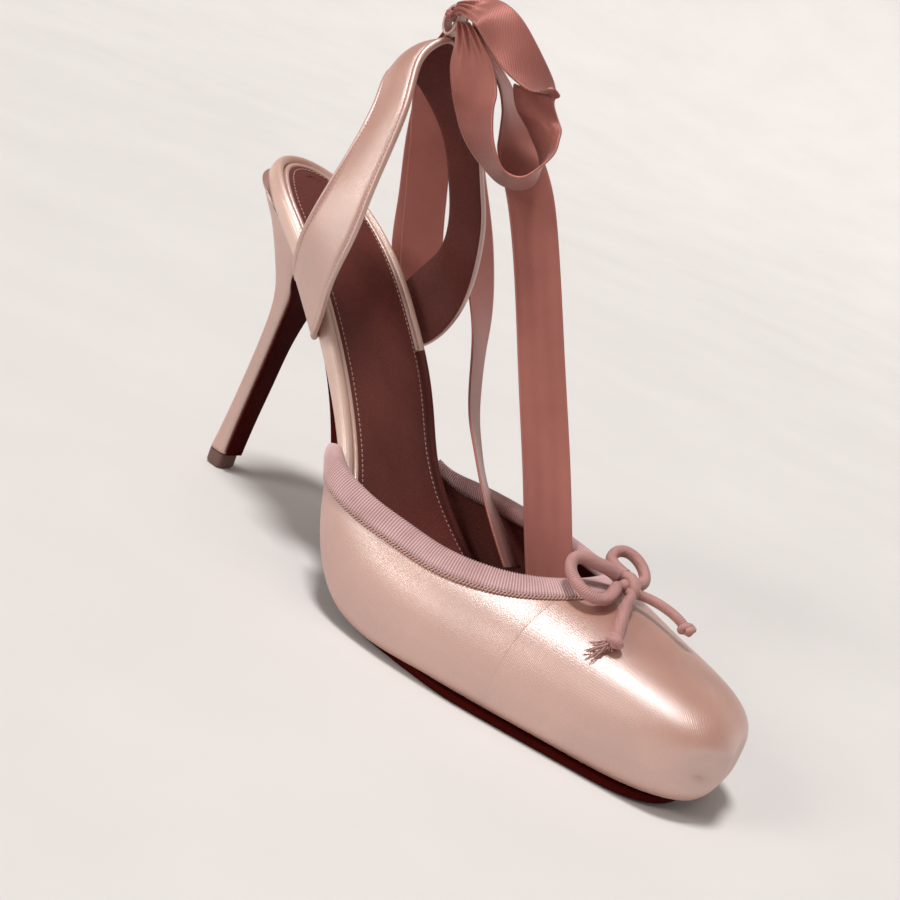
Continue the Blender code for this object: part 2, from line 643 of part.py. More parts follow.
REAR_LOOP = table(
    "side drop away point turn width",
    (-1.2, 0.8, 11, 180, 0, 4), (-5, 5, 21, 182, 20, 8), (-8, 9.6, 32, 184, 30, 12),
    (-8.8, 18, 43, 186, 30, 15), (-9.3, 28, 50, 185, 25, 15), (-10.2, 38, 55.2, 184, 22, 15),
    (-11.2, 48, 58.4, 184, 22, 15), (-12.1, 58, 61, 183, 22, 15), (-12.5, 67, 62, 182, 20, 15),
    (-12.9, 77, 63, 182, 18, 15), (-13.6, 87, 63.6, 181, 16, 15), (-14.8, 90.6, 66, 180, 16, 15),
    (-16, 87, 68.8, 180, 16, 15), (-16, 76, 69.4, 180, 14, 15), (-15.2, 58, 69, 182, 14, 15),
    (-13.3, 44, 66.6, 184, 20, 15), (-11.8, 29, 60, 186, 24, 14), (-8.6, 14, 46, 186, 20, 12),
    (-5, 6, 31, 184, 10, 8), (-1, 1.2, 17.6, 184, 6, 4))
NEAR_END = table(
    "side drop away point turn width",
    (3.6, 3.6, 3, -20, 30, 4), (6.6, 8, 6.4, -24, 58, 9), (10.6, 14.4, 9, -34, 70, 13),
    (13.4, 19, 11, -36, 70, 15), (15, 24, 12, -30, 68, 15), (16.2, 29.2, 12, -18, 60, 15),
    (17.1, 35.8, 12, -10, 43, 15), (18.8, 42, 12, -3, 24, 15), (21.2, 51.6, 12, -2, 14, 14.8),
    (22.8, 64, 12, 1, 8, 14.4), (25, 107, 9, 3, 4, 14.4), (26.4, 143, 4, 2, -6, 14.4),
    (26.8, 163, 2, 0, -14, 14.4), (27.3, 173, 1, 0, -18, 14.4))
FAR_END = table(
    "side drop away point turn width",
    (3.2, 1.4, 10.4, -10, 16, 4), (3, 7, 19, -16, 40, 8), (3, 18, 31, -16, 50, 12),
    (3.4, 31, 39, -14, 50, 13), (4.2, 41, 45, -13, 50, 14), (5.2, 50.5, 49, -11, 49, 15),
    (6.3, 61, 52, -10, 48, 15), (7.1, 72, 53.4, -9, 52, 15), (7.6, 81, 53.2, -9, 59, 15),
    (7.5, 89, 51, -11, 66, 15), (6.6, 98, 46, -14, 72, 15), (5.4, 110, 38.8, -14, 75, 15),
    (5.1, 120.4, 32, -8, 78, 15), (6, 129, 27.4, 0, 81, 15), (8, 141, 22.4, 6, 82, 15),
    (11.4, 152, 18, 6, 76, 15), (16.5, 166, 14, 8, 68, 14))


def hang_axes():
    """Sideways, down and away: the directions that the ribbon hangs in."""
    tilt, turn = math.radians(HANG_TILT), math.radians(HANG_TURN)
    forward = np.array([math.cos(tilt), 0, math.sin(tilt)])
    left = np.array([0, 1.0, 0])
    side = math.cos(turn) * forward + math.sin(turn) * left
    away = -math.sin(turn) * forward + math.cos(turn) * left
    down = np.array([math.sin(tilt), 0, -math.cos(tilt)])
    return side, down, away


def make_ribbon(name, folds, count, finish):
    """One run of flat ribbon through its folds."""
    side, down, away = hang_axes()
    rows = resample(np.column_stack([folds[key] for key in
                                     ("side", "drop", "away", "point", "turn", "width")]), count)
    back, front = [], []
    for across, drop, depth, point, turn, width in rows:
        middle = np.array(KNOT) + side * across + down * drop + away * depth
        point, turn = math.radians(point), math.radians(turn)
        reach = math.cos(turn) * (side * math.cos(point) + down * math.sin(point))
        reach = reach + away * math.sin(turn)
        back.append(middle - reach * width / 2)
        front.append(middle + reach * width / 2)
    return band(name, back, front, RIBBON_WALL, finish, across=3)


def make_ribbon_knot(finish):
    """Gathered ribbon where it passes through the keeper."""
    route = [tuple(np.array(KEEPER) + np.array(step)) for step in KNOT_ROUTE]
    return cord("ribbon_knot", route, KNOT_RADIUS, 6, finish)


# ---------------------------------------------------------------- the throat bow

def cord(name, route, radius, count, finish):
    """Round cord through its route, with closed ends."""
    curve = bpy.data.curves.new(name, "CURVE")
    curve.dimensions = "3D"
    curve.bevel_depth = radius * MM
    curve.bevel_resolution = 2
    curve.use_fill_caps = True
    line = curve.splines.new("POLY")
    points = resample(route, count)
    line.points.add(len(points) - 1)
    for point, place in zip(line.points, points):
        point.co = (*(place * MM), 1)
    curve.materials.append(finish)
    made = bpy.data.objects.new(name, curve)
    PARTS.objects.link(made)
    return made


BOW = (157.0, 0.5, 41.4)
# Routes from the bow's knot, mm
BOW_OUTER_LOOP = ((-3.4, -1.9, 2.0), (-5.2, -5.4, 3.2), (-7.2, -9.0, 4.0), (-9.4, -12.4, 4.6),
                  (-10.4, -15.4, 3.8), (-8.8, -17.8, 1.8), (-5.4, -18.8, 0.0),
                  (-1.4, -17.8, -1.6), (1.4, -14.0, -2.2), (1.2, -9.0, -1.2), (-0.6, -5.0, -0.4))
BOW_INNER_LOOP = ((-3.2, 3.0, 1.4), (-7.4, 3.8, 1.6), (-10.6, 5.6, 2.4), (-11.4, 8.2, 4.0),
                  (-10.0, 10.6, 4.8), (-6.4, 11.8, 4.2), (-2.2, 10.6, 2.6), (0.4, 7.8, 1.2),
                  (0.8, 4.4, 0.4))
BOW_OUTER_END = ((3.7, -3.0, -0.6), (6.0, -7.8, -1.8), (9.0, -13.2, -3.8), (12.0, -18.4, -6.4))
BOW_INNER_END = ((4.4, 2.2, -0.8), (7.0, 3.6, -0.8), (11.2, 4.6, -1.0), (16.0, 5.4, -2.0))


def bow_route(steps):
    """Points of a bow's run in the shoe's frame."""
    return [tuple(np.array(BOW) + np.array(step)) for step in steps]


def knot_ball(name, centre, size, finish):
    """Small pulled-tight knot."""
    bpy.ops.mesh.primitive_uv_sphere_add(segments=12, ring_count=8, radius=1,
                                         location=tuple(np.array(centre) * MM))
    made = bpy.context.object
    made.name = name
    made.data.name = name
    made.scale = tuple(np.array(size) * MM)
    bpy.context.view_layer.update()
    made.data.transform(made.matrix_world)
    made.matrix_world.identity()
    made.data.materials.append(finish)
    made.data.shade_smooth()
    for owner in list(made.users_collection):
        owner.objects.unlink(made)
    PARTS.objects.link(made)
    return made


def main():
    """Build every piece of the shoe."""
    satin = material("blush_satin", (0.80, 0.52, 0.47), 0.32)
    rim = material("champagne_satin", (0.80, 0.58, 0.48), 0.30)
    leather = material("rose_leather", (0.42, 0.20, 0.18), 0.5)
    tape = material("grosgrain", (0.72, 0.42, 0.40), 0.6)
    ribbon = material("ribbon_satin", (0.78, 0.47, 0.42), 0.45)
    braid = material("cord_cotton", (0.80, 0.50, 0.48), 0.7)
    sole = material("oxblood_leather", (0.16, 0.025, 0.025), 0.35)
    rubber = material("tip_rubber", (0.35, 0.2, 0.18), 0.6)

    make_outsole(sole)
    make_heel(satin)
    make_heel_tip(rubber)
    make_insole(rim)
    make_sock(leather)
    make_vamp(satin)
    make_binding(tape)
    make_strap(satin)
    make_keeper(satin)
    make_ribbon_knot(ribbon)
    make_ribbon("ribbon_front_loop", FRONT_LOOP, 34, ribbon)
    make_ribbon("ribbon_rear_loop", REAR_LOOP, 34, ribbon)
    make_ribbon("ribbon_near_end", NEAR_END, 22, ribbon)
    make_ribbon("ribbon_far_end", FAR_END, 22, ribbon)
    knot_ball("bow_knot", bow_route([(0, 0, 0.4)])[0], (2.9, 2.9, 2.5), braid)
    cord("bow_outer_loop", bow_route(BOW_OUTER_LOOP), CORD_RADIUS, 18, braid)
    cord("bow_inner_loop", bow_route(BOW_INNER_LOOP), CORD_RADIUS, 16, braid)
    cord("bow_outer_end", bow_route(BOW_OUTER_END), CORD_RADIUS, 7, braid)
    cord("bow_inner_end", bow_route(BOW_INNER_END), CORD_RADIUS * 0.85, 8, braid)
    knot_ball("bow_outer_end_knot", bow_route([(13.6, -21.2, -7.2)])[0], (2.6, 2.6, 2.4), braid)
    knot_ball("bow_inner_end_knot", bow_route([(18.8, 6.0, -3.4)])[0], (2.4, 2.4, 2.3), braid)


for old in list(bpy.data.objects):
    bpy.data.objects.remove(old, do_unlink=True)
PARTS = bpy.data.collections.new(NAME)
bpy.context.scene.collection.children.link(PARTS)
main()
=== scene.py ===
"""Dressed high heel: a satin slingback with a ballet vamp and an ankle ribbon, right foot.

Frame: metres, +Z up.  The origin is the middle of the heel tip on the floor, +X runs to the toe
and +Y to the wearer's left, so the outer side of this right shoe is at -Y.  The tables hold
millimetres, and MM turns them into metres where a mesh is made.
"""
from __future__ import annotations

import logging
import math
from collections.abc import Callable
from dataclasses import dataclass
from enum import Enum

import bpy
import numpy as np
from mathutils import Matrix


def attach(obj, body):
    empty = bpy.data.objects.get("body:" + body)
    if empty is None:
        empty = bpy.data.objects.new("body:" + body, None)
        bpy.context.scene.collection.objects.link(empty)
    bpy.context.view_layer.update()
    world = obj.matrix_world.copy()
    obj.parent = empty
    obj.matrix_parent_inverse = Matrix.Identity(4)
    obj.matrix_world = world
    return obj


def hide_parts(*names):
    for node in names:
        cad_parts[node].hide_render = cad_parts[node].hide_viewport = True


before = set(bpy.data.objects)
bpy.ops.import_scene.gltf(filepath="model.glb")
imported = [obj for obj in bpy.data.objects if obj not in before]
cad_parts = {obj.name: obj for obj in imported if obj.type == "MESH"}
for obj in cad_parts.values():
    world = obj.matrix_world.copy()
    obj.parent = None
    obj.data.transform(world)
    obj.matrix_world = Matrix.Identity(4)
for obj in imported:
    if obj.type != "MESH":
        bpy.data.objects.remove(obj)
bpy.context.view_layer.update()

Array = np.ndarray
Colour = tuple[float, float, float]
Object = bpy.types.Object
Material = bpy.types.Material
Socket = bpy.types.NodeSocket
Sockets = bpy.types.bpy_prop_collection

LOG = logging.getLogger("high_heel")
MM = 0.001
CLOTH = "cloth"           # name of the map that holds a piece's own lengths, in metres
BODY = "root"
KEEPER = (29.0, 0.0, 163.2)   # middle of the loop that holds the ribbon, in millimetres


# ================================================================ curves and tables

def unit(vectors: Array) -> Array:
    """Each vector at length one."""
    vectors = np.asarray(vectors, dtype=float)
    return vectors / np.maximum(np.linalg.norm(vectors, axis=-1, keepdims=True), 1e-12)


def ease(share: Array | float) -> Array:
    """A share, held between 0 and 1 and eased at both ends."""
    share = np.clip(share, 0, 1)
    return share * share * (3 - 2 * share)


class Profile:
    """Named columns of millimetres, read along the first one with a natural cubic spline."""

    def __init__(self, names: str, *rows: tuple[float, ...]) -> None:
        """Solve the bends of every column once.

        Args:
            names: the columns' names, the station first.
            rows: one row for each section.
        """
        self.names = names.split()
        self.values = np.array(rows, dtype=float)
        self.knots = self.values[:, 0]
        self.step = np.diff(self.knots)
        count = len(self.knots)
        slope = np.diff(self.values, axis=0) / self.step[:, None]
        matrix = np.eye(count)
        right = np.zeros_like(self.values)
        for k in range(1, count - 1):
            matrix[k, k - 1:k + 2] = (self.step[k - 1], 2 * (self.step[k - 1] + self.step[k]),
                                      self.step[k])
            right[k] = 6 * (slope[k] - slope[k - 1])
        self.slope = slope
        self.bends = np.linalg.solve(matrix, right)

    def __call__(self, name: str, x: Array | float) -> Array:
        """One column, read at x."""
        column = self.names.index(name)
        x = np.asarray(x, dtype=float)
        k = np.clip(np.searchsorted(self.knots, x) - 1, 0, len(self.knots) - 2)
        after = x - self.knots[k]
        bend, ahead = self.bends[k, column], self.bends[k + 1, column]
        step = self.step[k]
        first = self.slope[k, column] - step * (2 * bend + ahead) / 6
        return self.values[k, column] + after * (first + after * (
            bend / 2 + after * (ahead - bend) / (6 * step)))

    def all(self, x: Array | float) -> Array:
        """Every column, read at x."""
        return np.stack([self(name, x) for name in self.names], axis=-1)


def arc_lengths(points: Array) -> Array:
    """Length run through up to each point of a line."""
    steps = np.linalg.norm(np.diff(points, axis=0), axis=1)
    return np.concatenate([[0.0], np.cumsum(steps)])


def read_at(places: Array, run: Array, rows: Array) -> Array:
    """Rows read at other places of their run, on straight steps between them."""
    return np.column_stack([np.interp(places, run, column) for column in rows.T])


def read_smooth(places: Array, run: Array, rows: Array) -> Array:
    """Rows read at other places of their run, on a natural cubic spline."""
    names = " ".join(["run"] + [f"c{k}" for k in range(rows.shape[1])])
    return Profile(names, *np.column_stack([run, rows])).all(places)[:, 1:]


def circle(count: int) -> Array:
    """Angles of evenly spaced points round a circle."""
    return np.linspace(0, 2 * math.pi, count, endpoint=False)


def resample(points: Array, count: int, spatial: int = 3) -> Array:
    """Evenly spaced rows on a smooth curve.

    Args:
        points: rows whose columns are read together.
        count: rows wanted.
        spatial: leading columns that hold the place, which measure the spacing.

    Returns:
        The new rows.
    """
    points = np.asarray(points, dtype=float)
    knots = arc_lengths(points)
    dense = read_smooth(np.linspace(0, knots[-1], 20 * count), knots, points)
    run = arc_lengths(dense[:, :spatial])
    return read_at(np.linspace(0, run[-1], count), run, dense)


def carried_frames(path: Array) -> tuple[Array, Array]:
    """The two directions across a line, which turn as little as they can along it."""
    along = unit(np.gradient(path, axis=0))
    across = np.zeros_like(along)
    start = np.array([0.0, 0.0, 1.0])
    if abs(along[0] @ start) > 0.9:
        start = np.array([0.0, 1.0, 0.0])
    across[0] = unit(start - along[0] * (start @ along[0]))
    for k in range(1, len(path)):
        moved = across[k - 1] - along[k] * (across[k - 1] @ along[k])
        across[k] = unit(moved)
    return across, np.cross(along, across)


# ================================================================ meshes

def linked(name: str, data: bpy.types.ID) -> Object:
    """A new object of the scene that holds the data."""
    made = bpy.data.objects.new(name, data)
    bpy.context.scene.collection.objects.link(made)
    return made


def stand(made: Object, axes: tuple[Array, Array, Array],
          place: tuple[float, float, float] = (0.0, 0.0, 0.0)) -> None:
    """Turn an object to three axes and put it in its place."""
    matrix = np.eye(4)
    matrix[:3, :3] = np.column_stack(axes)
    matrix[:3, 3] = place
    made.matrix_world = Matrix(matrix.tolist())


def new_object(name: str, mesh: bpy.types.Mesh, finishes: list[Material]) -> Object:
    """Link a smooth object that rides on the shoe.

    Args:
        name: the piece's name.
        mesh: its mesh.
        finishes: its materials, in the order of the faces' numbers.

    Returns:
        The object.
    """
    for finish in finishes:
        mesh.materials.append(finish)
    mesh.shade_smooth()
    made = linked(name, mesh)
    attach(made, BODY)
    return made


@dataclass
class Sheet:
    """A grid of points in millimetres with its lengths along and across, ready for a mesh."""

    points: Array
    run: Array | None = None
    wrap: bool = False
    caps: bool = False

    def lengths(self) -> Array:
        """Lengths along the rows and across the columns, one more column where it wraps."""
        if self.run is not None:
            return self.run
        points = self.points
        if self.wrap:
            points = np.concatenate([points, points[:, :1]], axis=1)
        down = np.linalg.norm(np.diff(points, axis=0), axis=2)
        over = np.linalg.norm(np.diff(points, axis=1), axis=2)
        run = np.zeros(points.shape[:2] + (2,))
        run[1:, :, 0] = np.cumsum(down.mean(axis=1))[:, None]
        run[:, 1:, 1] = np.cumsum(over.mean(axis=0))[None, :]
        return run

    def faces(self) -> tuple[Array, Array]:
        """Corners of each quad, as point numbers and as (row, column) of the lengths."""
        rows, columns = self.points.shape[:2]
        last = columns if self.wrap else columns - 1
        r, c = np.meshgrid(np.arange(rows - 1), np.arange(last), indexing="ij")
        r, c = r.ravel(), c.ravel()
        around = (c + 1) % columns
        corners = np.stack([r * columns + c, r * columns + around,
                            (r + 1) * columns + around, (r + 1) * columns + c], axis=1)
        places = np.stack([np.stack([r, c], 1), np.stack([r, c + 1], 1),
                           np.stack([r + 1, c + 1], 1), np.stack([r + 1, c], 1)], axis=1)
        return corners, places


def mesh_from(name: str, sheets: list[Sheet], stripes: Array | int = 0) -> bpy.types.Mesh:
    """One mesh from several sheets.

    Args:
        name: the mesh's name.
        sheets: the grids.
        stripes: material number of every point, of each column, or of each row and column.

    Returns:
        The mesh, with its lengths in the map named CLOTH.
    """
    vertices, faces, lengths, finish = [], [], [], []
    base = 0
    for sheet in sheets:
        corners, places = sheet.faces()
        run = sheet.lengths() * MM
        rows, columns = sheet.points.shape[:2]
        vertices.append(sheet.points.reshape(-1, 3))
        faces += (corners + base).tolist()
        lengths.append(run[places[..., 0], places[..., 1]].reshape(-1, 2))
        finish.append(np.broadcast_to(stripes, (rows, columns))[
            places[:, 0, 0], places[:, 0, 1]])
        if sheet.caps:
            for row, order in ((0, 1), (rows - 1, -1)):
                ring = np.arange(columns)[::-order] + row * columns
                faces.append((ring + base).tolist())
                lengths.append(run[row, np.arange(columns)[::-order]])
                finish.append(np.array([finish[-1][0]]))
        base += rows * columns
    mesh = bpy.data.meshes.new(name)
    mesh.from_pydata((np.concatenate(vertices) * MM).tolist(), [], faces)
    layer = mesh.uv_layers.new(name=CLOTH)
    layer.uv.foreach_set("vector", np.concatenate(lengths).astype(np.float32).ravel())
    mesh.polygons.foreach_set("material_index", np.concatenate(finish).astype(np.int32))
    mesh.update()
    return mesh


def outward(mesh: bpy.types.Mesh) -> bpy.types.Mesh:
    """Turn a closed mesh's faces outward."""
    vertices = np.empty(len(mesh.vertices) * 3)
    mesh.vertices.foreach_get("co", vertices)
    vertices = vertices.reshape(-1, 3)
    mesh.calc_loop_triangles()
    corners = np.empty(len(mesh.loop_triangles) * 3, dtype=np.int32)
    mesh.loop_triangles.foreach_get("vertices", corners)
    a, b, c = (vertices[corners.reshape(-1, 3)[:, k]] for k in range(3))
    if (a * np.cross(b, c)).sum() < 0:
        mesh.flip_normals()
    return mesh


def tube(path: Array, radius: Array | float, sides: int, flat: float = 1.0,
         ripple: Array | None = None) -> Sheet:
    """Skin of a round or flattened cord.

    Args:
        path: points of its middle line.
        radius: its radius, or one for each point.
        sides: points round it.
        flat: height as a share of the width.
        ripple: share added to the radius at each point and side.

    Returns:
        The closed sheet.
    """
    over, up = carried_frames(path)
    turn = circle(sides)
    radius = np.broadcast_to(np.asarray(radius, dtype=float), (len(path),))
    reach = radius[:, None] * (1 + (ripple if ripple is not None else 0.0))
    reach = np.broadcast_to(reach, (len(path), sides))
    points = (path[:, None, :] + over[:, None, :] * (reach * np.cos(turn))[..., None]
              + up[:, None, :] * (reach * flat * np.sin(turn))[..., None])
    return Sheet(points, wrap=True, caps=True)


@dataclass(frozen=True)
class StitchRow:
    """A row of thread stitches, each a small capsule that dips into the cloth at its ends."""

    pitch: float = 1.35
    share: float = 0.66
    radius: float = 0.2
    lift: float = 0.05

    def sheets(self, path: Array, out: Array) -> list[Sheet]:
        """Stitches along a line.

        Args:
            path: points of the line on the cloth.
            out: the cloth's outward direction at each point.

        Returns:
            One closed sheet for each stitch.
        """
        run = arc_lengths(path)
        made = []
        for start in np.arange(0.3 * self.pitch, run[-1] - self.pitch, self.pitch):
            at = start + self.pitch * self.share * np.array([0, 0.12, 0.5, 0.88, 1.0])
            middle = read_at(at, run, path)
            normal = unit(read_at(at, run, out))
            rise = np.array([-0.9, 0.1, 0.5, 0.1, -0.9]) * self.radius + self.lift
            made.append(tube(middle + normal * rise[:, None],
                             self.radius * np.array([0.5, 0.95, 1.0, 0.95, 0.5]), 6))
        return made


def mesh_piece(name: str, sheets: list[Sheet], finishes: list[Material],
               stripes: Array | int = 0) -> Object:
    """Object made of one mesh of closed sheets, with its faces outward.

    Args:
        name: the piece's name.
        sheets: its grids.
        finishes: its materials.
        stripes: material numbers, as mesh_from takes them.

    Returns:
        The object.
    """
    return new_object(name, outward(mesh_from(name, sheets, stripes)), finishes)


# ================================================================ the last

@dataclass
class Last:
    """The form that the shoe is built on: bottom line, outlines and the turn of the forefoot."""

    gap: float = 0.3
    toe_start: float = 176.0
    toe_squareness: float = 3.4
    seat_back: float = -15.5
    seat_length: float = 22.5
    seat_roundness: float = 2.05
    turn: float = 0.20
    turn_start: float = 128.0
    turn_length: float = 62.0

    def __post_init__(self) -> None:
        """Set up the tables of sections."""
        self.bed = Profile(
            "x height",
            (-19, 101.6), (-8, 97.4), (3, 92.2), (14, 85.8), (25, 77.8), (36, 67.6), (48, 54.8),
            (60, 41.2), (72, 28.0), (84, 16.2), (96, 8.0), (108, 4.0), (120, 2.8), (132, 2.7),
            (150, 2.7), (168, 2.7), (184, 3.0), (201, 4.4))
        self.widest = Profile(
            "x outer inner spine arch tuck wrap",
            (56, 23.2, 22.6, 78.0, 2.1, 1.0, 3.4), (64, 28.4, 25.0, 70.0, 2.1, 1.6, 3.6),
            (71, 34.0, 27.0, 64.4, 2.1, 2.4, 3.6), (78, 39.4, 29.0, 59.5, 2.1, 3.0, 3.4),
            (91, 44.4, 31.6, 53.0, 2.1, 3.2, 2.9), (104, 45.6, 33.8, 47.0, 2.1, 3.2, 1.7),
            (118, 45.0, 35.4, 43.6, 2.1, 3.2, 0.5), (132, 42.8, 36.2, 41.0, 2.1, 3.2, -0.3),
            (146, 39.2, 35.6, 39.0, 2.1, 3.2, -0.3), (160, 34.6, 32.4, 36.8, 2.2, 3.2, -0.3),
            (174, 30.2, 27.8, 34.2, 2.4, 3.2, -0.3), (188, 26.0, 23.8, 31.4, 2.8, 3.2, -0.3),
            (207, 20.4, 19.0, 27.2, 3.6, 3.2, -0.3))
        self.rim = Profile(
            "x outer inner thick",
            (5, 21.2, 22.0, 5.6), (14, 22.6, 22.8, 5.8), (25, 22.8, 23.4, 5.8),
            (36, 22.2, 23.8, 5.6), (48, 21.8, 24.0, 5.2), (58, 22.4, 22.4, 4.6),
            (68, 25.4, 20.4, 4.0), (80, 33.2, 22.8, 3.6), (91, 37.8, 25.6, 3.4),
            (104, 39.2, 27.6, 3.4), (118, 38.8, 29.2, 3.4), (132, 36.2, 30.2, 3.4),
            (146, 32.8, 29.6, 3.4), (160, 28.4, 26.4, 3.4), (174, 24.0, 22.0, 3.4),
            (200, 16.0, 14.8, 3.4))

    def swing(self, x: Array, y: Array) -> Array:
        """Station x moved by the inward turn of the forefoot."""
        return x - self.turn * y * ease((x - self.turn_start) / self.turn_length)

    def bed_height(self, x: Array) -> Array:
        """Top of the outsole along the middle of the shoe."""
        return self.bed("height", x)

    def bed_point(self, x: Array, y: Array, height: Array) -> Array:
        """Point that lies height above the top of the outsole, square to its slope."""
        tilt = np.arctan(self.bed_height(x + 0.5) - self.bed_height(x - 0.5))
        place = (self.swing(x, y) - height * np.sin(tilt), y + 0 * x,
                 self.bed_height(x) + height * np.cos(tilt))
        return np.stack(np.broadcast_arrays(*place), axis=-1)

    def toe_close(self, x: Array, end: float) -> Array:
        """Share of the half width that is left between the toe's start and its end."""
        share = np.clip((x - self.toe_start) / (end - self.toe_start), 0, 1)
        return (1 - share ** self.toe_squareness) ** (1 / self.toe_squareness)

    def toe_stations(self, end: float, count: int, last: float = 90.0) -> Array:
        """Stations along the toe that lie evenly round its corners."""
        turn = np.radians(np.linspace(0, last, count))
        return self.toe_start + (end - self.toe_start) * np.sin(turn) ** (
            2 / self.toe_squareness)

    def seat_close(self, x: Array) -> Array:
        """Share of the half width in the rounded rear end of the insole."""
        share = np.clip((self.seat_back + self.seat_length - x) / self.seat_length, 0, 1)
        return (1 - share ** self.seat_roundness) ** (1 / self.seat_roundness)

    def rim_loop(self, inset: float, front: float, counts: tuple[int, int, int]) -> Array:
        """Closed outline of the insole, set in by the inset, the outer side first.

        Args:
            inset: distance in from the rim.
            front: station of the front end.
            counts: points at the seat, along the middle and round the toe.

        Returns:
            Points (x, y) of the outline.
        """
        seat_count, middle_count, toe_count = counts
        turn = np.radians(np.linspace(0, 90, seat_count))
        seat = np.sort(self.seat_back + self.seat_length
                       * (1 - np.cos(turn) ** (2 / self.seat_roundness)))
        middle = np.linspace(self.seat_back + self.seat_length, self.toe_start,
                             middle_count)[1:-1]
        xs = np.concatenate([seat, middle, self.toe_stations(front, toe_count)])
        close = self.seat_close(xs) * self.toe_close(xs, front)
        outer = np.column_stack([xs, -self.rim("outer", xs) * close])
        inner = np.column_stack([xs, self.rim("inner", xs) * close])
        loop = np.concatenate([outer, inner[-2:0:-1]])
        ahead = np.roll(loop, -1, axis=0) - np.roll(loop, 1, axis=0)
        return loop + unit(np.column_stack([-ahead[:, 1], ahead[:, 0]])) * inset

    def rim_line(self, inset: float, share: float, lift: float, front: float,
                 counts: tuple[int, int, int]) -> Array:
        """Points over the bed along an outline of the insole, at a share of its thickness."""
        loop = self.rim_loop(inset, front, counts)
        x, y = loop[:, 0], loop[:, 1]
        return self.bed_point(x, y, share * self.rim("thick", x) + lift)


@dataclass(frozen=True)
class Dent:
    """A soft hollow or swelling of the cloth: its middle, its reach and its depth."""

    middle: tuple[float, float, float]
    reach: tuple[float, float, float]
    depth: float

    def rise(self, points: Array) -> Array:
        """How far each point moves out of the cloth."""
        away = (points - np.array(self.middle)) / np.array(self.reach)
        return -self.depth * np.exp(-(away ** 2).sum(axis=-1))


# ================================================================ the upper

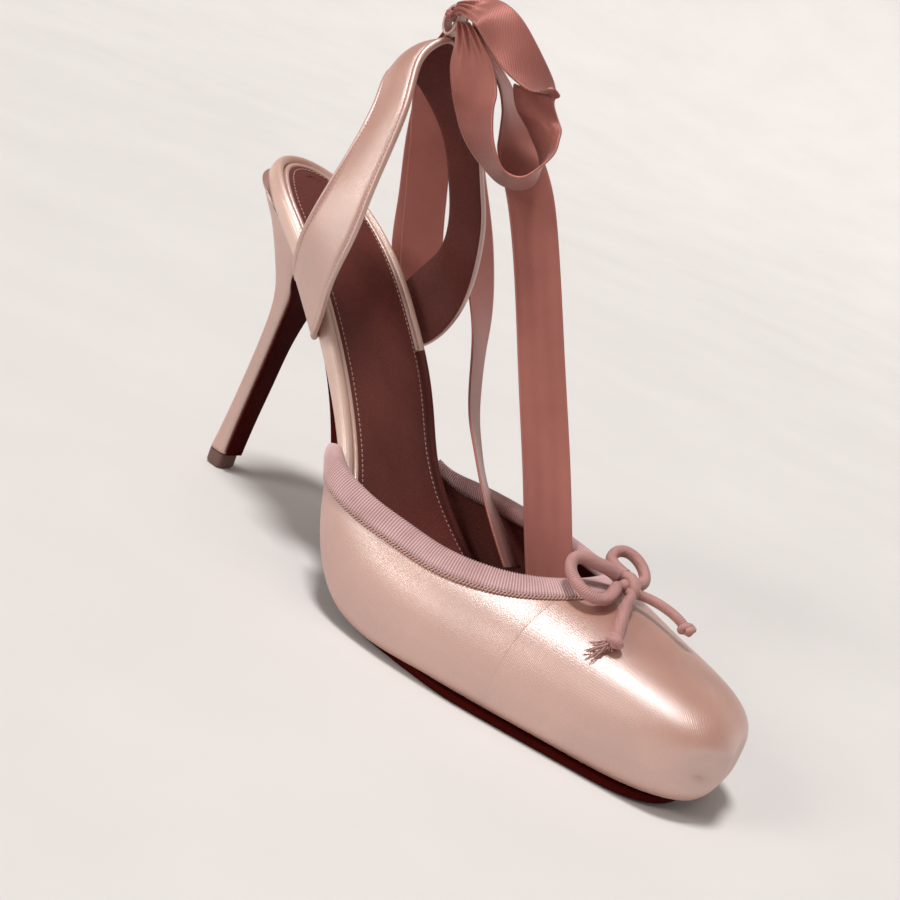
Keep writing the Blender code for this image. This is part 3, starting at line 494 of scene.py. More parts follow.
@dataclass
class Vamp:
    """Ballet vamp with its lining, the ribbed tape round its opening and the tape's stitches."""

    last: Last
    wall: float = 1.8
    toe: float = 206.5
    back: float = 66.0
    throat: float = 149.0
    rise: float = 9.5
    tuck_angle: float = 62.0
    fan_start: float = 150.0
    fan_end: float = 188.0
    tape_depth: float = 5.8
    tape_wall: float = 0.8
    rib_pitch: float = 0.85
    rib_height: float = 0.3
    ribbed_steps: int = 6         # sections of the tape for each rib
    twist: float = 2.1            # length in which the stitches' two strands cross twice
    strand: float = 0.29          # radius of a strand
    steps: int = 30               # rows of the shell
    counts: tuple[int, int, int, int] = (58, 30, 26, 64)  # side, throat, front, toe
    tape_counts: tuple[int, int] = (26, 22)               # side, throat
    throat_reach: float = 16.0    # length behind the throat where stations draw together
    level_start: float = 122.0    # station where the shell's rows start to level out
    level_end: float = 145.0
    wave: float = 0.07            # height of the slight waves of stretched cloth
    fades: tuple[float, float] = (0.12, 0.06)  # shares of a column that lie still at its ends
    halvings: int = 40            # rounds of the search for the opening's edge

    def __post_init__(self) -> None:
        """Set up the topline and the soft dents of the toe."""
        self.topline = Profile(
            "x outer inner",
            (66, 3.7, -1.2), (68, 6.2, 0.2), (73, 11.8, 4.6), (80, 18.2, 12.0), (88, 23.6, 19.6),
            (96, 27.2, 25.4), (106, 29.6, 30.0), (118, 30.3, 33.0), (130, 31.1, 33.6),
            (139, 32.6, 33.8), (145, 34.4, 34.6), (149, 35.8, 35.8))
        self.dents = (
            Dent((206.0, -15.5, 15.4), (5.0, 5.5, 3.4), 2.0),
            Dent((198.5, 18.0, 15.0), (5.0, 5.0, 3.4), 1.4),
            Dent((207.0, -9.0, 19.5), (4.0, 5.0, 3.0), -0.7),
            Dent((206.0, 2.0, 17.0), (6.0, 5.0, 5.0), 0.8),
            Dent((199.0, -23.5, 12.0), (5.0, 4.0, 2.6), -0.3),
            Dent((150.0, -38.0, 19.0), (22.0, 9.0, 6.0), 0.35),
            Dent((112.0, -44.0, 22.0), (16.0, 9.0, 6.0), -0.3),
            Dent((170.0, -24.0, 27.0), (16.0, 8.0, 6.0), -0.25),
            Dent((128.0, 33.0, 22.0), (18.0, 8.0, 7.0), 0.3))

    def spine_x(self, x: Array) -> Array:
        """Place on the spine that the ray to the outline's station x starts from."""
        share = np.clip((x - self.fan_start) / (self.toe - self.fan_start), 0, 1)
        reach = (self.toe - self.fan_start) / (self.fan_end - self.fan_start)
        fanned = self.fan_start + (self.fan_end - self.fan_start) * (
            reach * share - (reach - 1) * share ** 3)
        return np.where(x > self.fan_start, fanned, x)

    def half(self, x: Array, side: Array) -> Array:
        """Signed half width of the widest outline."""
        width = np.where(side < 0, self.last.widest("outer", x), self.last.widest("inner", x))
        return side * width * self.last.toe_close(x, self.toe)

    def plan_normal(self, x: Array, side: Array) -> Array:
        """Unit vector in plan that points out of the vamp at station x."""
        step = np.clip((self.toe - x) / 2, 1e-6, 0.25)
        dy = self.half(x + step, side) - self.half(x - step, side)
        normal = unit(np.stack([dy, -2 * step], axis=-1)) * -np.asarray(side)[..., None]
        ahead = np.broadcast_to(np.array([1.0, 0.0]), normal.shape)
        return np.where((x >= self.toe - 0.001)[..., None], ahead, normal)

    def point(self, x: Array, side: Array, share: Array) -> Array:
        """Points of the outer face: share 0 at the spine, 1 at the widest line, 2 at the sole."""
        x, side, share = np.broadcast_arrays(np.asarray(x, dtype=float), side, share)
        last = self.last
        edge = np.stack([x, self.half(x, side)], axis=-1)
        bed = last.bed_height(x)
        widest = bed + last.gap + self.rise
        floor = bed - np.maximum(last.widest("wrap", x), -last.gap)
        turn = np.radians(90 * np.clip(share, 0, 1))
        arch = last.widest("arch", x)
        out, up = np.sin(turn) ** (2 / arch), np.maximum(np.cos(turn), 0) ** (2 / arch)
        middle = np.stack([self.spine_x(x), 0 * x], axis=-1)
        plan = middle + (edge - middle) * out[..., None]
        spine = last.widest("spine", plan[..., 0])
        upper = np.stack([last.swing(plan[..., 0], plan[..., 1]), plan[..., 1],
                          widest + (spine - widest) * up], axis=-1)
        full = math.radians(self.tuck_angle)
        turn = full * np.clip(share - 1, 0, 1)
        tuck = last.widest("tuck", x) * (1 - np.cos(turn)) / (1 - math.cos(full))
        plan = edge - self.plan_normal(x, side) * tuck[..., None]
        lower = np.stack([last.swing(plan[..., 0], plan[..., 1]), plan[..., 1],
                          widest - (widest - floor) * np.sin(turn) / math.sin(full)], axis=-1)
        return np.where((share <= 1)[..., None], upper, lower)

    def edge_share(self, x: Array, side: Array) -> Array:
        """Share on the ray at x where the opening's edge lies, 0 ahead of the throat."""
        last = self.last
        highest = last.widest("spine", x) - 0.06 * (self.throat - x)
        rise = np.where(side < 0, self.topline("outer", x), self.topline("inner", x))
        height = np.minimum(last.bed_height(x) + rise, highest)
        low, high = np.zeros_like(x), np.full_like(x, 2.0)
        for _ in range(self.halvings):
            middle = (low + high) / 2
            above = self.point(x, side, middle)[..., 2] > height
            low, high = np.where(above, middle, low), np.where(above, high, middle)
        return np.where(x >= self.throat, 0.0, high)

    def stations(self, side_count: int, throat_count: int) -> Array:
        """Stations of one side of the opening, close together at the throat."""
        long = self.throat - self.throat_reach - self.back
        side = self.back + long * np.linspace(0, 1, side_count) ** 1.3
        near = self.throat - self.throat_reach * np.linspace(1, 0, throat_count)[1:] ** 1.5
        return np.concatenate([side, near])

    @staticmethod
    def around(xs: Array) -> tuple[Array, Array]:
        """Stations forward on the outer side and back on the inner, with each one's side."""
        side = np.concatenate([np.full(len(xs), -1.0), np.full(len(xs) - 1, 1.0)])
        return np.concatenate([xs, xs[-2::-1]]), side

    def dented(self, points: Array) -> Array:
        """The outer face with its soft dents and the slight waves of stretched cloth."""
        over = np.gradient(points, axis=0)
        down = np.gradient(points, axis=1)
        normal = unit(np.cross(over, down))
        inside = np.array([140.0, 0.0, 15.0])
        normal = normal * np.sign(((points - inside) * normal).sum(axis=-1, keepdims=True))
        rise = sum(dent.rise(points) for dent in self.dents)
        x, y, z = points[..., 0], points[..., 1], points[..., 2]
        rise = rise + self.wave * np.sin(x / 6.3 + z / 5.0) * np.sin(y / 7.1 - z / 9.0)
        edge = np.linspace(0, 1, points.shape[1])[None, :]
        top, bottom = self.fades
        fade = np.clip(edge / top, 0, 1) * np.clip((1 - edge) / bottom, 0, 1)
        return points + normal * (rise * fade)[..., None]

    def shell(self, satin: Material, lining: Material) -> Object:
        """Build the hollow vamp, satin outside and leather inside."""
        side_count, throat_count, front_count, toe_count = self.counts
        front = np.linspace(self.throat, self.last.toe_start, front_count)[1:-1]
        columns, side = self.around(np.concatenate([
            self.stations(side_count, throat_count), front,
            self.last.toe_stations(self.toe, toe_count)]))
        top = self.edge_share(columns, side)
        step = np.linspace(0, 1, self.steps + 1)[None, :]
        level = ease((columns - self.level_start) / (self.level_end - self.level_start))
        share = 2 * step + top[:, None] * (1 - step) ** (1 + 2 * level[:, None])
        points = self.dented(self.point(columns[:, None], side[:, None], share))
        mesh = mesh_from("vamp_shell", [Sheet(points)])
        made = new_object("vamp_shell", mesh, [satin, lining])
        weld = made.modifiers.new("Spine", "WELD")
        weld.merge_threshold = 0.004 * MM
        wall = made.modifiers.new("Wall", "SOLIDIFY")
        wall.thickness = self.wall * MM
        wall.offset = -1.0
        wall.material_offset = 1
        wall.material_offset_rim = 0
        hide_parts("vamp")
        return made

    def slopes(self, x: Array, side: Array, share: Array) -> tuple[Array, Array]:
        """Steps over the outer face for a millimetre along it and for its share."""
        share = np.maximum(share, 0.01)
        along = self.point(x + 0.25, side, share) - self.point(x - 0.25, side, share)
        down = self.point(x, side, share + 0.01) - self.point(x, side, share - 0.01)
        return along / 0.5, down / 0.02

    def on_wall(self, target: Array, x: Array, side: Array, share: Array) -> tuple[Array, Array]:
        """Nearest points of the wall to the targets, with their outward normals."""
        for _ in range(10):
            along, down = self.slopes(x, side, share)
            miss = target - self.point(x, side, share)
            a, b, c = ((along * along).sum(-1), (along * down).sum(-1), (down * down).sum(-1))
            p, q = (miss * along).sum(-1), (miss * down).sum(-1)
            scale = 1 / np.maximum(a * c - b * b, 1e-9)
            x = x + np.clip((c * p - b * q) * scale, -3, 3)
            share = np.clip(share + (a * q - b * p) * scale, 0, 1.98)
        along, down = self.slopes(x, side, share)
        normal = unit(np.cross(along, down)) * np.asarray(side)[..., None]
        return self.point(x, side, share), normal

    def tape_sections(self) -> tuple[Array, Array, Array]:
        """Sections of the folded tape round the opening.

        Returns:
            Rings from the lower line outside over the fold to the inside leg and back under,
            the lower line itself, and the outward normals there.
        """
        columns, side = self.around(np.append(self.stations(*self.tape_counts)[:-1],
                                              self.throat - 0.01))
        top = self.edge_share(columns, side)
        edges = self.point(columns, side, top)
        tangents = unit(np.gradient(edges, axis=0))
        along, down = self.slopes(columns, side, top)
        normal = unit(np.cross(along, down)) * side[:, None]
        down = unit(np.cross(tangents, normal))
        run = arc_lengths(edges)
        ends = np.minimum(3.8 + 0.3 * run, 2.0 + 0.3 * (run[-1] - run))
        reach = np.minimum(self.tape_depth, ends)
        legs = [(edges, normal)]
        for share in (0.25, 0.5, 0.75, 1.0):
            target = edges + down * (reach * share)[:, None]
            legs.append(self.on_wall(target, columns, side, top))
        gap, skin = self.last.gap, self.tape_wall
        inner = -self.wall - 3 * gap
        lift = -down
        low, low_normal = legs[4]
        ring = [low + low_normal * (gap - 0.35)]
        ring += [place + out * (gap + skin * swell)
                 for (place, out), swell in zip(legs[:0:-1], (0.72, 1.0, 1.12, 1.1))]
        ring += [edges + normal * (gap + skin) + lift * gap,
                 edges + normal * (gap + 0.55 * skin) + lift * (3 * gap + 0.6 * skin),
                 edges + lift * (3 * gap + 1.1 * skin),
                 edges + normal * (inner * 0.5) + lift * (3 * gap + 1.15 * skin),
                 edges + normal * inner + lift * (3 * gap + 0.85 * skin),
                 edges + normal * (inner - skin) + lift * 2 * gap]
        ring += [legs[k][0] + legs[k][1] * depth
                 for k, depth in ((1, inner - skin), (2, inner - skin), (2, inner + 0.1))]
        return np.stack(ring, axis=1), low, low_normal

    def tape(self, ribbed: Material) -> Object:
        """Build the ribbed tape that is folded over the edge of the opening."""
        rings, line, _ = self.tape_sections()
        run = arc_lengths(line)
        sections, sides = rings.shape[:2]
        at = np.linspace(0, run[-1], int(run[-1] / self.rib_pitch) * self.ribbed_steps + 1)
        points = read_smooth(at, run, rings.reshape(sections, -1)).reshape(len(at), sides, 3)
        over, around = np.gradient(points, axis=0), np.gradient(points, axis=1)
        normal = unit(np.cross(over, around))
        if ((points[:, 2] - points[:, -1]) * normal[:, 2]).sum() < 0:
            normal = -normal
        rib = 0.5 * self.rib_height * np.cos(2 * math.pi * at / self.rib_pitch)
        fade = np.ones(sides)
        fade[[0, 1, -1]] = 0.0, 0.6, 0.2
        points = points + normal * rib[:, None, None] * fade[None, :, None]
        lengths = np.zeros((len(at), sides + 1, 2))
        # the lengths start a quarter rib on, so the painted shade of the threads falls in the
        # valleys between the ribs
        lengths[..., 0] = (at + self.rib_pitch / 4)[:, None]
        lengths[..., 1] = np.arange(sides + 1)[None, :] * 1.2
        made = mesh_piece("topline_tape", [Sheet(points, run=lengths, wrap=True, caps=True)],
                          [ribbed])
        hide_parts("topline_binding")
        return made

    def tape_stitches(self, thread: Material) -> Object:
        """Build the chain of stitches along the tape's lower line."""
        _, line, normal = self.tape_sections()
        run = arc_lengths(line)
        at = np.arange(1.5, run[-1] - 1.5, 0.16)
        path, out = read_at(at, run, line), unit(read_at(at, run, normal))
        down = unit(np.cross(unit(np.gradient(path, axis=0)), out))
        down = down * np.sign((down[:, 2].mean() < 0) - 0.5)
        turn = 2 * math.pi * at / self.twist
        made = []
        for start in (0.0, math.pi):
            swing, rise = np.cos(turn + start), np.sin(turn + start)
            strand = path + down * (0.2 + 0.5 * swing)[:, None] + out * (
                self.last.gap * 0.6 + 0.26 + 0.24 * rise)[:, None]
            made.append(tube(strand, self.strand, 6))
        return mesh_piece("topline_stitches", made, [thread])


# ================================================================ sole and heel

@dataclass
class Sole:
    """Leather outsole that runs on down the front of the heel."""

    last: Last
    toe: float = 198.0
    thick: float = 2.4
    inset: float = 5.6        # edge inside the vamp's widest line where the vamp wraps it
    toe_inset: float = 2.2    # the same ahead of that
    wrap_end: tuple[float, float] = (116.0, 142.0)
    turn_start: float = 30.0  # station where the sole leaves the bed for the heel
    bevel: float = 0.28       # size of its rounded corners as a share of the thickness
    counts: tuple[int, int, int] = (40, 120, 70)  # sections of the toe, middle and heel

    def __post_init__(self) -> None:
        """Set up the waist and the turn down the heel."""
        self.waist = Profile(
            "x outer inner thick",
            (24, 17.0, 18.2, 1.4), (30, 17.8, 19.2, 2.0), (36, 18.2, 19.8, 2.2),
            (48, 19.2, 20.4, 2.2), (60, 22.4, 20.4, 2.2), (66, 25.3, 20.5, 2.2),
            (72, 28.6, 21.6, 2.3), (84, 35.4, 25.6, 2.4))
        self.breast_turn = ((24.8, 76.6, 16.6), (19.8, 78.2, 15.0), (15.9, 75.8, 13.4),
                            (13.4, 70.2, 10.8))

    def half(self, x: Array, outer: bool) -> Array:
        """Half width of the outsole at station x."""
        name = "outer" if outer else "inner"
        start, end = self.wrap_end
        inset = self.inset + (self.toe_inset - self.inset) * ease((x - start) / (end - start))
        front = (self.last.widest(name, x) - inset) * self.last.toe_close(x, self.toe)
        return np.where(x < self.waist.knots[-1], self.waist(name, x), front)

    def build(self, heel: "Heel", leather: Material) -> Object:
        """Build the sole as one skin: toe, ball, waist, then down the heel's breast."""
        last = self.last
        toe_count, middle_count, rear_count = self.counts
        toe = last.toe_stations(self.toe, toe_count, last=87.5)[::-1]
        xs = np.concatenate([toe, np.linspace(last.toe_start, self.turn_start,
                                              middle_count)[1:]])
        thick = np.where(xs < self.waist.knots[-1], self.waist("thick", xs), self.thick)
        place = last.bed_point(xs, 0 * xs, -last.gap)
        front = np.column_stack([place[:, 0], place[:, 2], self.half(xs, True),
                                 self.half(xs, False), thick])
        turned = [(x, z, half + 0.8, half, 1.2) for x, z, half in self.breast_turn]
        down = [(row[1] + 0.5, max(row[2], 5.6), row[5] - 0.4, row[5] - 0.4, 1.0)
                for row in heel.sections.values[5::-1]]
        rear = resample(np.concatenate([front[-1:], turned, down]), rear_count, spatial=2)[1:]
        path = np.concatenate([front, rear])
        ahead = unit(np.gradient(path[:, :2], axis=0))
        below = np.column_stack([-ahead[:, 1], ahead[:, 0]])
        outer, inner, thick = path[:, 2], path[:, 3], path[:, 4]
        bevel = self.bevel * thick
        corner = [(0.0, 1.0), (0.3, 0.45), (0.65, 0.12), (1.0, 0.0)]
        sides = [(-outer + bevel * a, bevel * b) for a, b in corner]
        sides += [(-outer * 0.5, 0 * bevel), (inner * 0.5, 0 * bevel)]
        sides += [(inner - bevel * a, bevel * b) for a, b in corner[::-1]]
        sides += [(inner - bevel * a, thick - bevel * b) for a, b in corner]
        sides += [(inner * share, thick) for share in (0.66, 0.33, 0.0)]
        sides += [(-outer * share, thick) for share in (0.33, 0.66)]
        sides += [(-outer + bevel * a, thick - bevel * b) for a, b in corner[::-1]]
        ring = np.stack([np.stack([
            last.swing(path[:, 0], y) + below[:, 0] * depth, y,
            np.maximum(path[:, 1] + below[:, 1] * depth, 0.0)], axis=-1)
            for y, depth in sides], axis=1)
        made = mesh_piece("outsole_leather", [Sheet(ring, wrap=True, caps=True)], [leather])
        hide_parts("outsole")
        return made


@dataclass
class Heel:
    """Slim covered heel and its wearing block."""

    last: Last
    tip_height: float = 5.0
    sides: int = 72
    count: int = 100          # sections of the cover
    flare: float = 1.3        # spread of the cover's upper edge towards the rim

    def __post_init__(self) -> None:
        """Set up the sections from the tip to the seat."""
        self.sections = Profile(
            "row breast_x breast_z back_x back_z half",
            (0, 4.2, 5.3, -3.9, 5.3, 4.0), (1, 5.0, 18, -1.9, 18, 4.1),
            (2, 6.5, 34, -0.1, 34, 4.3), (3, 7.7, 47, 1.1, 47.5, 4.6),
            (4, 9.1, 57, 1.7, 58, 5.6), (5, 10.6, 64, 0.9, 66, 7.2),
            (6, 12.2, 70.2, -1.5, 74, 9.8), (7, 14.7, 75.8, -4.9, 82.5, 12.8),
            (8, 18.9, 78.6, -9.0, 91.0, 16.0), (9, 23.2, 78.4, -13.2, 99.6, 19.4))

    def ring(self, breast: tuple[float, float], back: tuple[float, float], half: float,
             seat: float = 0.0) -> Array:
        """D-shaped section between the breast and the back.

        Args:
            breast: x and z of the front.
            back: x and z of the rear.
            half: half width.
            seat: 1 where the section lies against the sole, 0 where it doesn't.

        Returns:
            Points round the section.
        """
        (breast_x, breast_z), (back_x, back_z) = breast, back
        middle = back_x + 0.5 * (breast_x - back_x)
        turn = circle(self.sides)
        along, across = np.cos(turn), np.sin(turn)
        square = np.where(along > 0, 5.0, 2.3)
        reach = np.where(along > 0, breast_x - middle, back_x - middle)
        x = middle + reach * np.abs(along) ** (2 / square)
        y = np.copysign(half * np.abs(across) ** (2 / square), across)
        z = back_z + (breast_z - back_z) * (x - back_x) / (breast_x - back_x)
        z = z * (1 - seat) + (self.last.bed_height(x) - 1.2 * self.last.gap) * seat
        return np.column_stack([x, y, z])

    def build(self, satin: Material) -> Object:
        """Build the covered heel up to its sloping seat."""
        rings = []
        top = self.sections.knots[-1]
        for k in np.linspace(0, top, self.count):
            row = self.sections.all(k)
            seat = float(np.clip(k - (top - 1), 0, 1) ** 3)
            flare = self.flare * float(np.clip((k - (top - 1.4)) / 1.4, 0, 1) ** 2)
            rings.append(self.ring((row[1], row[2]), (row[3] - flare, row[4]), row[5] + flare,
                                   seat))
        made = mesh_piece("heel_cover", [Sheet(np.array(rings), wrap=True, caps=True)], [satin])
        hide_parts("heel")
        return made

    def tip(self, rubber: Material) -> Object:
        """Build the wearing block, with a small round at the floor."""
        row = self.sections.values[0]
        steps = ((0, 0.75), (0.12, 0.45), (0.35, 0.18), (0.7, 0.02), (1.0, 0.0),
                 (self.tip_height - 0.45, 0.0), (self.tip_height - 0.2, 0.1),
                 (self.tip_height - 0.1, 0.3))
        rings = [self.ring((row[1] - inset, z), (row[3] + inset, z), row[5] - inset)
                 for z, inset in steps]
        made = mesh_piece("heel_tip_block", [Sheet(np.array(rings), wrap=True, caps=True)],
                          [rubber])
        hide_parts("heel_tip")
        return made


# ================================================================ footbed

@dataclass
class Footbed:
    """Satin rim of the insole with its rolled ridge, the piping inside it, and the sock."""

    last: Last
    counts: tuple[int, int, int] = (26, 110, 26)
    rim_front: float = 199.0
    sock_front: float = 198.0
    seat: float = 0.60        # share of the rim's thickness that the sock lies at
    satin_end: float = 46.0   # station where the satin ends on the inner side
    stitch_inset: float = 6.5
    stitch_end: float = 150.0

    def plate(self, name: str, profile: tuple[tuple[float, float, float], ...], front: float,
              finishes: list[Material], crown: float = 0.0,
              leather_top: bool = False) -> Object:
        """Build a padded plate over the bed.

        Args:
            name: the piece's name.
            profile: inset, share of the thickness and lift, from the underside up.
            front: station of its front end.
            finishes: its materials.
            crown: how far the middle of the top sinks.
            leather_top: True where the second material wraps over the rim on the inner side.

        Returns:
            The object.
        """
        rows = np.array(profile)
        smooth = resample(np.column_stack([rows[:, 0], rows[:, 1] * 5, rows[:, 2]]),
                          4 * len(rows), spatial=3)
        rings = [self.last.rim_line(inset, share / 5, lift, front, self.counts)
                 for inset, share, lift in smooth]
        below, above = self.filled(rings[0]), self.filled(rings[-1], crown)
        rings = np.array(below[::-1] + rings + above)
        stripes = np.zeros(rings.shape[:2], dtype=int)
        if leather_top:
            edge = rings[len(below)]
            high = np.arange(len(rings)) > len(below) + 0.40 * len(smooth)
            stripes[:] = high[:, None] & (edge[:, 1] > 0) & (edge[:, 0] > self.satin_end - 2)
        return mesh_piece(name, [Sheet(rings, wrap=True)], finishes, stripes=stripes)

    @staticmethod
    def filled(ring: Array, crown: float = 0.0) -> list[Array]:
        """Rings that close a plate from its edge ring in to its middle line."""
        count = len(ring)
        middle = (ring + ring[(-np.arange(count)) % count]) / 2
        middle[:, 2] -= crown
        return [ring * 0.7 + middle * 0.3, ring * 0.35 + middle * 0.65, middle]

    def rim(self, satin: Material, leather: Material) -> Object:
        """Build the satin rim, with the leather turned over it on the inner side."""
        profile = ((3.0, 0.0, 0.0), (0.3, 0.03, 0.0), (0.0, 0.35, 0.0), (0.4, 0.8, 0.0),
                   (1.5, 1.0, 0.0), (2.7, 0.9, 0.0), (3.4, 0.62, 0.0), (6.0, 0.60, 0.0))
        made = self.plate("insole_rim", profile, self.rim_front, [satin, leather],
                          leather_top=True)
        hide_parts("insole")
        return made

    def piping(self, satin: Material) -> Object:
        """Build the thin satin roll that lies between the rim's ridge and the sock."""
        line = self.last.rim_line(4.35, self.seat, 0.75, self.rim_front - 1, self.counts)
        cut = int(0.03 * len(line))
        half = len(line) // 2
        inner = line[half + cut:]
        line = np.concatenate([inner[inner[:, 0] < self.satin_end], line[:half - cut]])
        return mesh_piece("sock_piping", [tube(line, 0.85, 12)], [satin])

    def sock(self, leather: Material) -> Object:
        """Build the leather sock."""
        profile = tuple((inset, self.seat, lift) for inset, lift in (
            (5.0, 0.3), (4.75, 0.7), (5.1, 1.2), (6.2, 1.45), (9.0, 1.5)))
        made = self.plate("sock_leather", profile, self.sock_front, [leather],
                          crown=0.35)
        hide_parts("sock_lining")
        return made

    def stitches(self, thread: Material) -> Object:
        """Build the row of stitches just inside the sock's edge."""
        line, lower = (self.last.rim_line(self.stitch_inset, self.seat, lift, self.sock_front,
                                          self.counts) for lift in (1.5, 0.5))
        out = unit(line - lower)
        order = np.roll(np.arange(len(line)), len(line) - len(line) // 2)
        order = order[line[order, 0] < self.stitch_end]
        return mesh_piece("sock_stitches",
                          StitchRow(pitch=1.6, radius=0.18).sheets(line[order], out[order]),
                          [thread])


# ================================================================ slingback

@dataclass
class Slingback:
    """Folded satin band behind the ankle with its lining, edge stitches and ribbon keeper."""

    last: Last
    wall: float = 2.0
    lift: float = 22.0
    count: int = 280
    stitch_inset: float = 1.62
    keeper: tuple[float, float, float] = KEEPER
    loop_half: tuple[float, float] = (2.0, 3.8)   # the loop's half length and half height

    def __post_init__(self) -> None:
        """Set up the edges of one arm, from under the rim to the top."""
        self.arm = Profile(
            "row back_x back_y back_z front_x front_y front_z bulge",
            (0, 25.4, 22.8, 76.4, 40.2, 22.0, 62.2, 0), (1, 26.0, 25.8, 79.6, 42.2, 25.4, 64.0, 0),
            (2, 27.0, 28.4, 84.0, 45.0, 28.6, 69.0, 0),
            (3, 29.8, 32.2, 92.6, 47.6, 32.4, 82.0, 0.2),
            (4, 30.8, 31.8, 101.0, 48.0, 30.6, 96.0, 0.4),
            (5, 30.3, 28.6, 109.4, 46.4, 28.0, 108.4, 0.6),
            (6, 28.9, 24.0, 118.4, 43.8, 24.2, 118.8, 0.8),
            (7, 26.8, 19.2, 127.0, 41.0, 20.0, 129.4, 1.0),
            (8, 24.0, 15.0, 133.0, 38.0, 16.6, 137.4, 1.2),
            (9, 20.8, 11.2, 137.4, 33.8, 12.8, 144.6, 1.5),
            (10, 18.4, 7.6, 140.6, 30.8, 9.0, 151.0, 2.0),
            (11, 17.2, 3.8, 142.6, 30.4, 4.4, 155.6, 2.6),
            (12, 16.8, 0.0, 143.2, 30.6, 0.0, 157.4, 2.8))

    def edge(self, first: int, side: int) -> Array:
        """One edge of one arm; low down it follows the insole's rim on that side."""
        places = self.arm.values[:, first:first + 3].copy()
        if side > 0:
            wider = self.last.rim("inner", places[:, 0]) - self.last.rim("outer", places[:, 0])
            above = (places[:, 2] - places[0, 2]) / self.lift
            places[:, 1] += wider * np.clip(1 - above, 0, 1)
        places[:, 1] *= side
        return places

    def edges(self, count: int) -> tuple[Array, Array, Array]:
        """Edge lines and bulge of the whole band, from the outer side over the top to the inner."""
        both = [np.concatenate([self.edge(first, -1), self.edge(first, 1)[-2::-1]])
                for first in (1, 4)]
        bulge = self.arm.values[:, 7:]
        both.append(np.concatenate([bulge, bulge[-2::-1]]))
        rows = resample(np.column_stack(both), count)
        return rows[:, :3], rows[:, 3:6], rows[:, 6]

    def frames(self, count: int) -> tuple[Array, Array, Array, Array, Array]:
        """Middle line of the band, its direction across, outward direction, width and bulge."""
        back, front, bulge = self.edges(count)
        middle = (back + front) / 2
        width = np.linalg.norm(front - back, axis=1)
        across = unit(front - back)
        return middle, across, unit(np.cross(across, np.gradient(middle, axis=0))), width, bulge

    def place(self, share: float, inset: float) -> Array:
        """Line along the band at a share of its half width, drawn in at the edges.

        Args:
            share: -1 at the rear edge, 1 at the front edge.
            inset: distance in from that edge.

        Returns:
            Points on the band's middle layer.
        """
        middle, across, out, width, bulge = self.frames(self.count)
        half = width / 2
        off = np.sign(share) * np.maximum(abs(share) * half - inset, 0.0)
        swell = bulge * np.cos(0.5 * math.pi * off / half)
        return middle + across * off[:, None] + out * swell[:, None]

    def band(self, satin: Material, lining: Material) -> Object:
        """Build the band with a rolled edge, a stitched groove and a soft face."""
        out = self.frames(self.count)[2]
        half = self.wall / 2
        roll = ((1.0, 0.0, 0.1), (1.0, 0.05, 0.75), (1.0, 0.45, 1.2), (1.0, 0.95, 1.25),
                (1.0, 1.35, 0.8), (1.0, 1.6, 0.5), (1.0, 1.9, 0.75), (1.0, 2.6, 1.0))
        outer = [(-share, inset, rise) for share, inset, rise in roll]
        outer += [(share, 0.0, 1.0) for share in (-0.6, -0.4, -0.2, 0.0, 0.2, 0.4, 0.6)]
        outer += [(share, inset, rise) for share, inset, rise in roll[::-1]]
        inner = [(1.0, 0.5, -0.85), (1.0, 1.4, -1.0), (0.5, 0.0, -1.0), (0.0, 0.0, -1.0),
                 (-0.5, 0.0, -1.0), (-1.0, 1.4, -1.0), (-1.0, 0.5, -0.85)]
        points = np.stack([self.place(share, inset) + out * (rise * half)
                           for share, inset, rise in outer + inner], axis=1)
        stripes = np.array([0] * len(outer) + [1] * len(inner))
        made = mesh_piece("slingback_band", [Sheet(points, wrap=True, caps=True)],
                          [satin, lining], stripes=stripes)
        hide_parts("slingback_strap")
        return made

    def stitches(self, thread: Material) -> Object:
        """Build the rows of stitches along both edges."""
        out = self.frames(self.count)[2]
        sheets = []
        keep = slice(6, self.count - 6)
        for side in (-1, 1):
            line = self.place(side, self.stitch_inset) + out * (self.wall * 0.27)
            sheets += StitchRow(pitch=1.33, share=0.62, radius=0.2).sheets(line[keep], out[keep])
        return mesh_piece("slingback_stitches", sheets, [thread])

    def loop(self, satin: Material) -> Object:
        """Build the small upright loop that holds the ribbon."""
        x, _, z = self.keeper
        length, height = self.loop_half
        turn = circle(64)
        section = ((-1.9, 0.1), (-1.9, 0.7), (-1.6, 0.9), (-1.0, 0.95), (0.0, 0.98), (1.0, 0.95),
                   (1.6, 0.9), (1.9, 0.7), (1.9, 0.1), (1.5, 0.0), (0.0, 0.0), (-1.5, 0.0))
        points = np.stack([np.column_stack([x + (length + grow) * np.cos(turn),
                                            np.full_like(turn, y),
                                            z + (height + grow) * np.sin(turn)])
                           for y, grow in section], axis=1)
        points = np.concatenate([points, points[:1]])
        made = mesh_piece("keeper_loop", [Sheet(points, wrap=True)], [satin])
        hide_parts("ribbon_keeper")
        return made


# ================================================================ ribbon and bow

class FarEnd(Enum):
    """Where a run of ribbon or cord ends."""

    KNOT = "knot"
    BARE = "bare"


@dataclass(frozen=True)
class Fold:
    """One run of the ankle ribbon: its rows of folds and how it ends."""

    name: str
    node: str
    rows: tuple[tuple[float, ...], ...]
    far_end: FarEnd


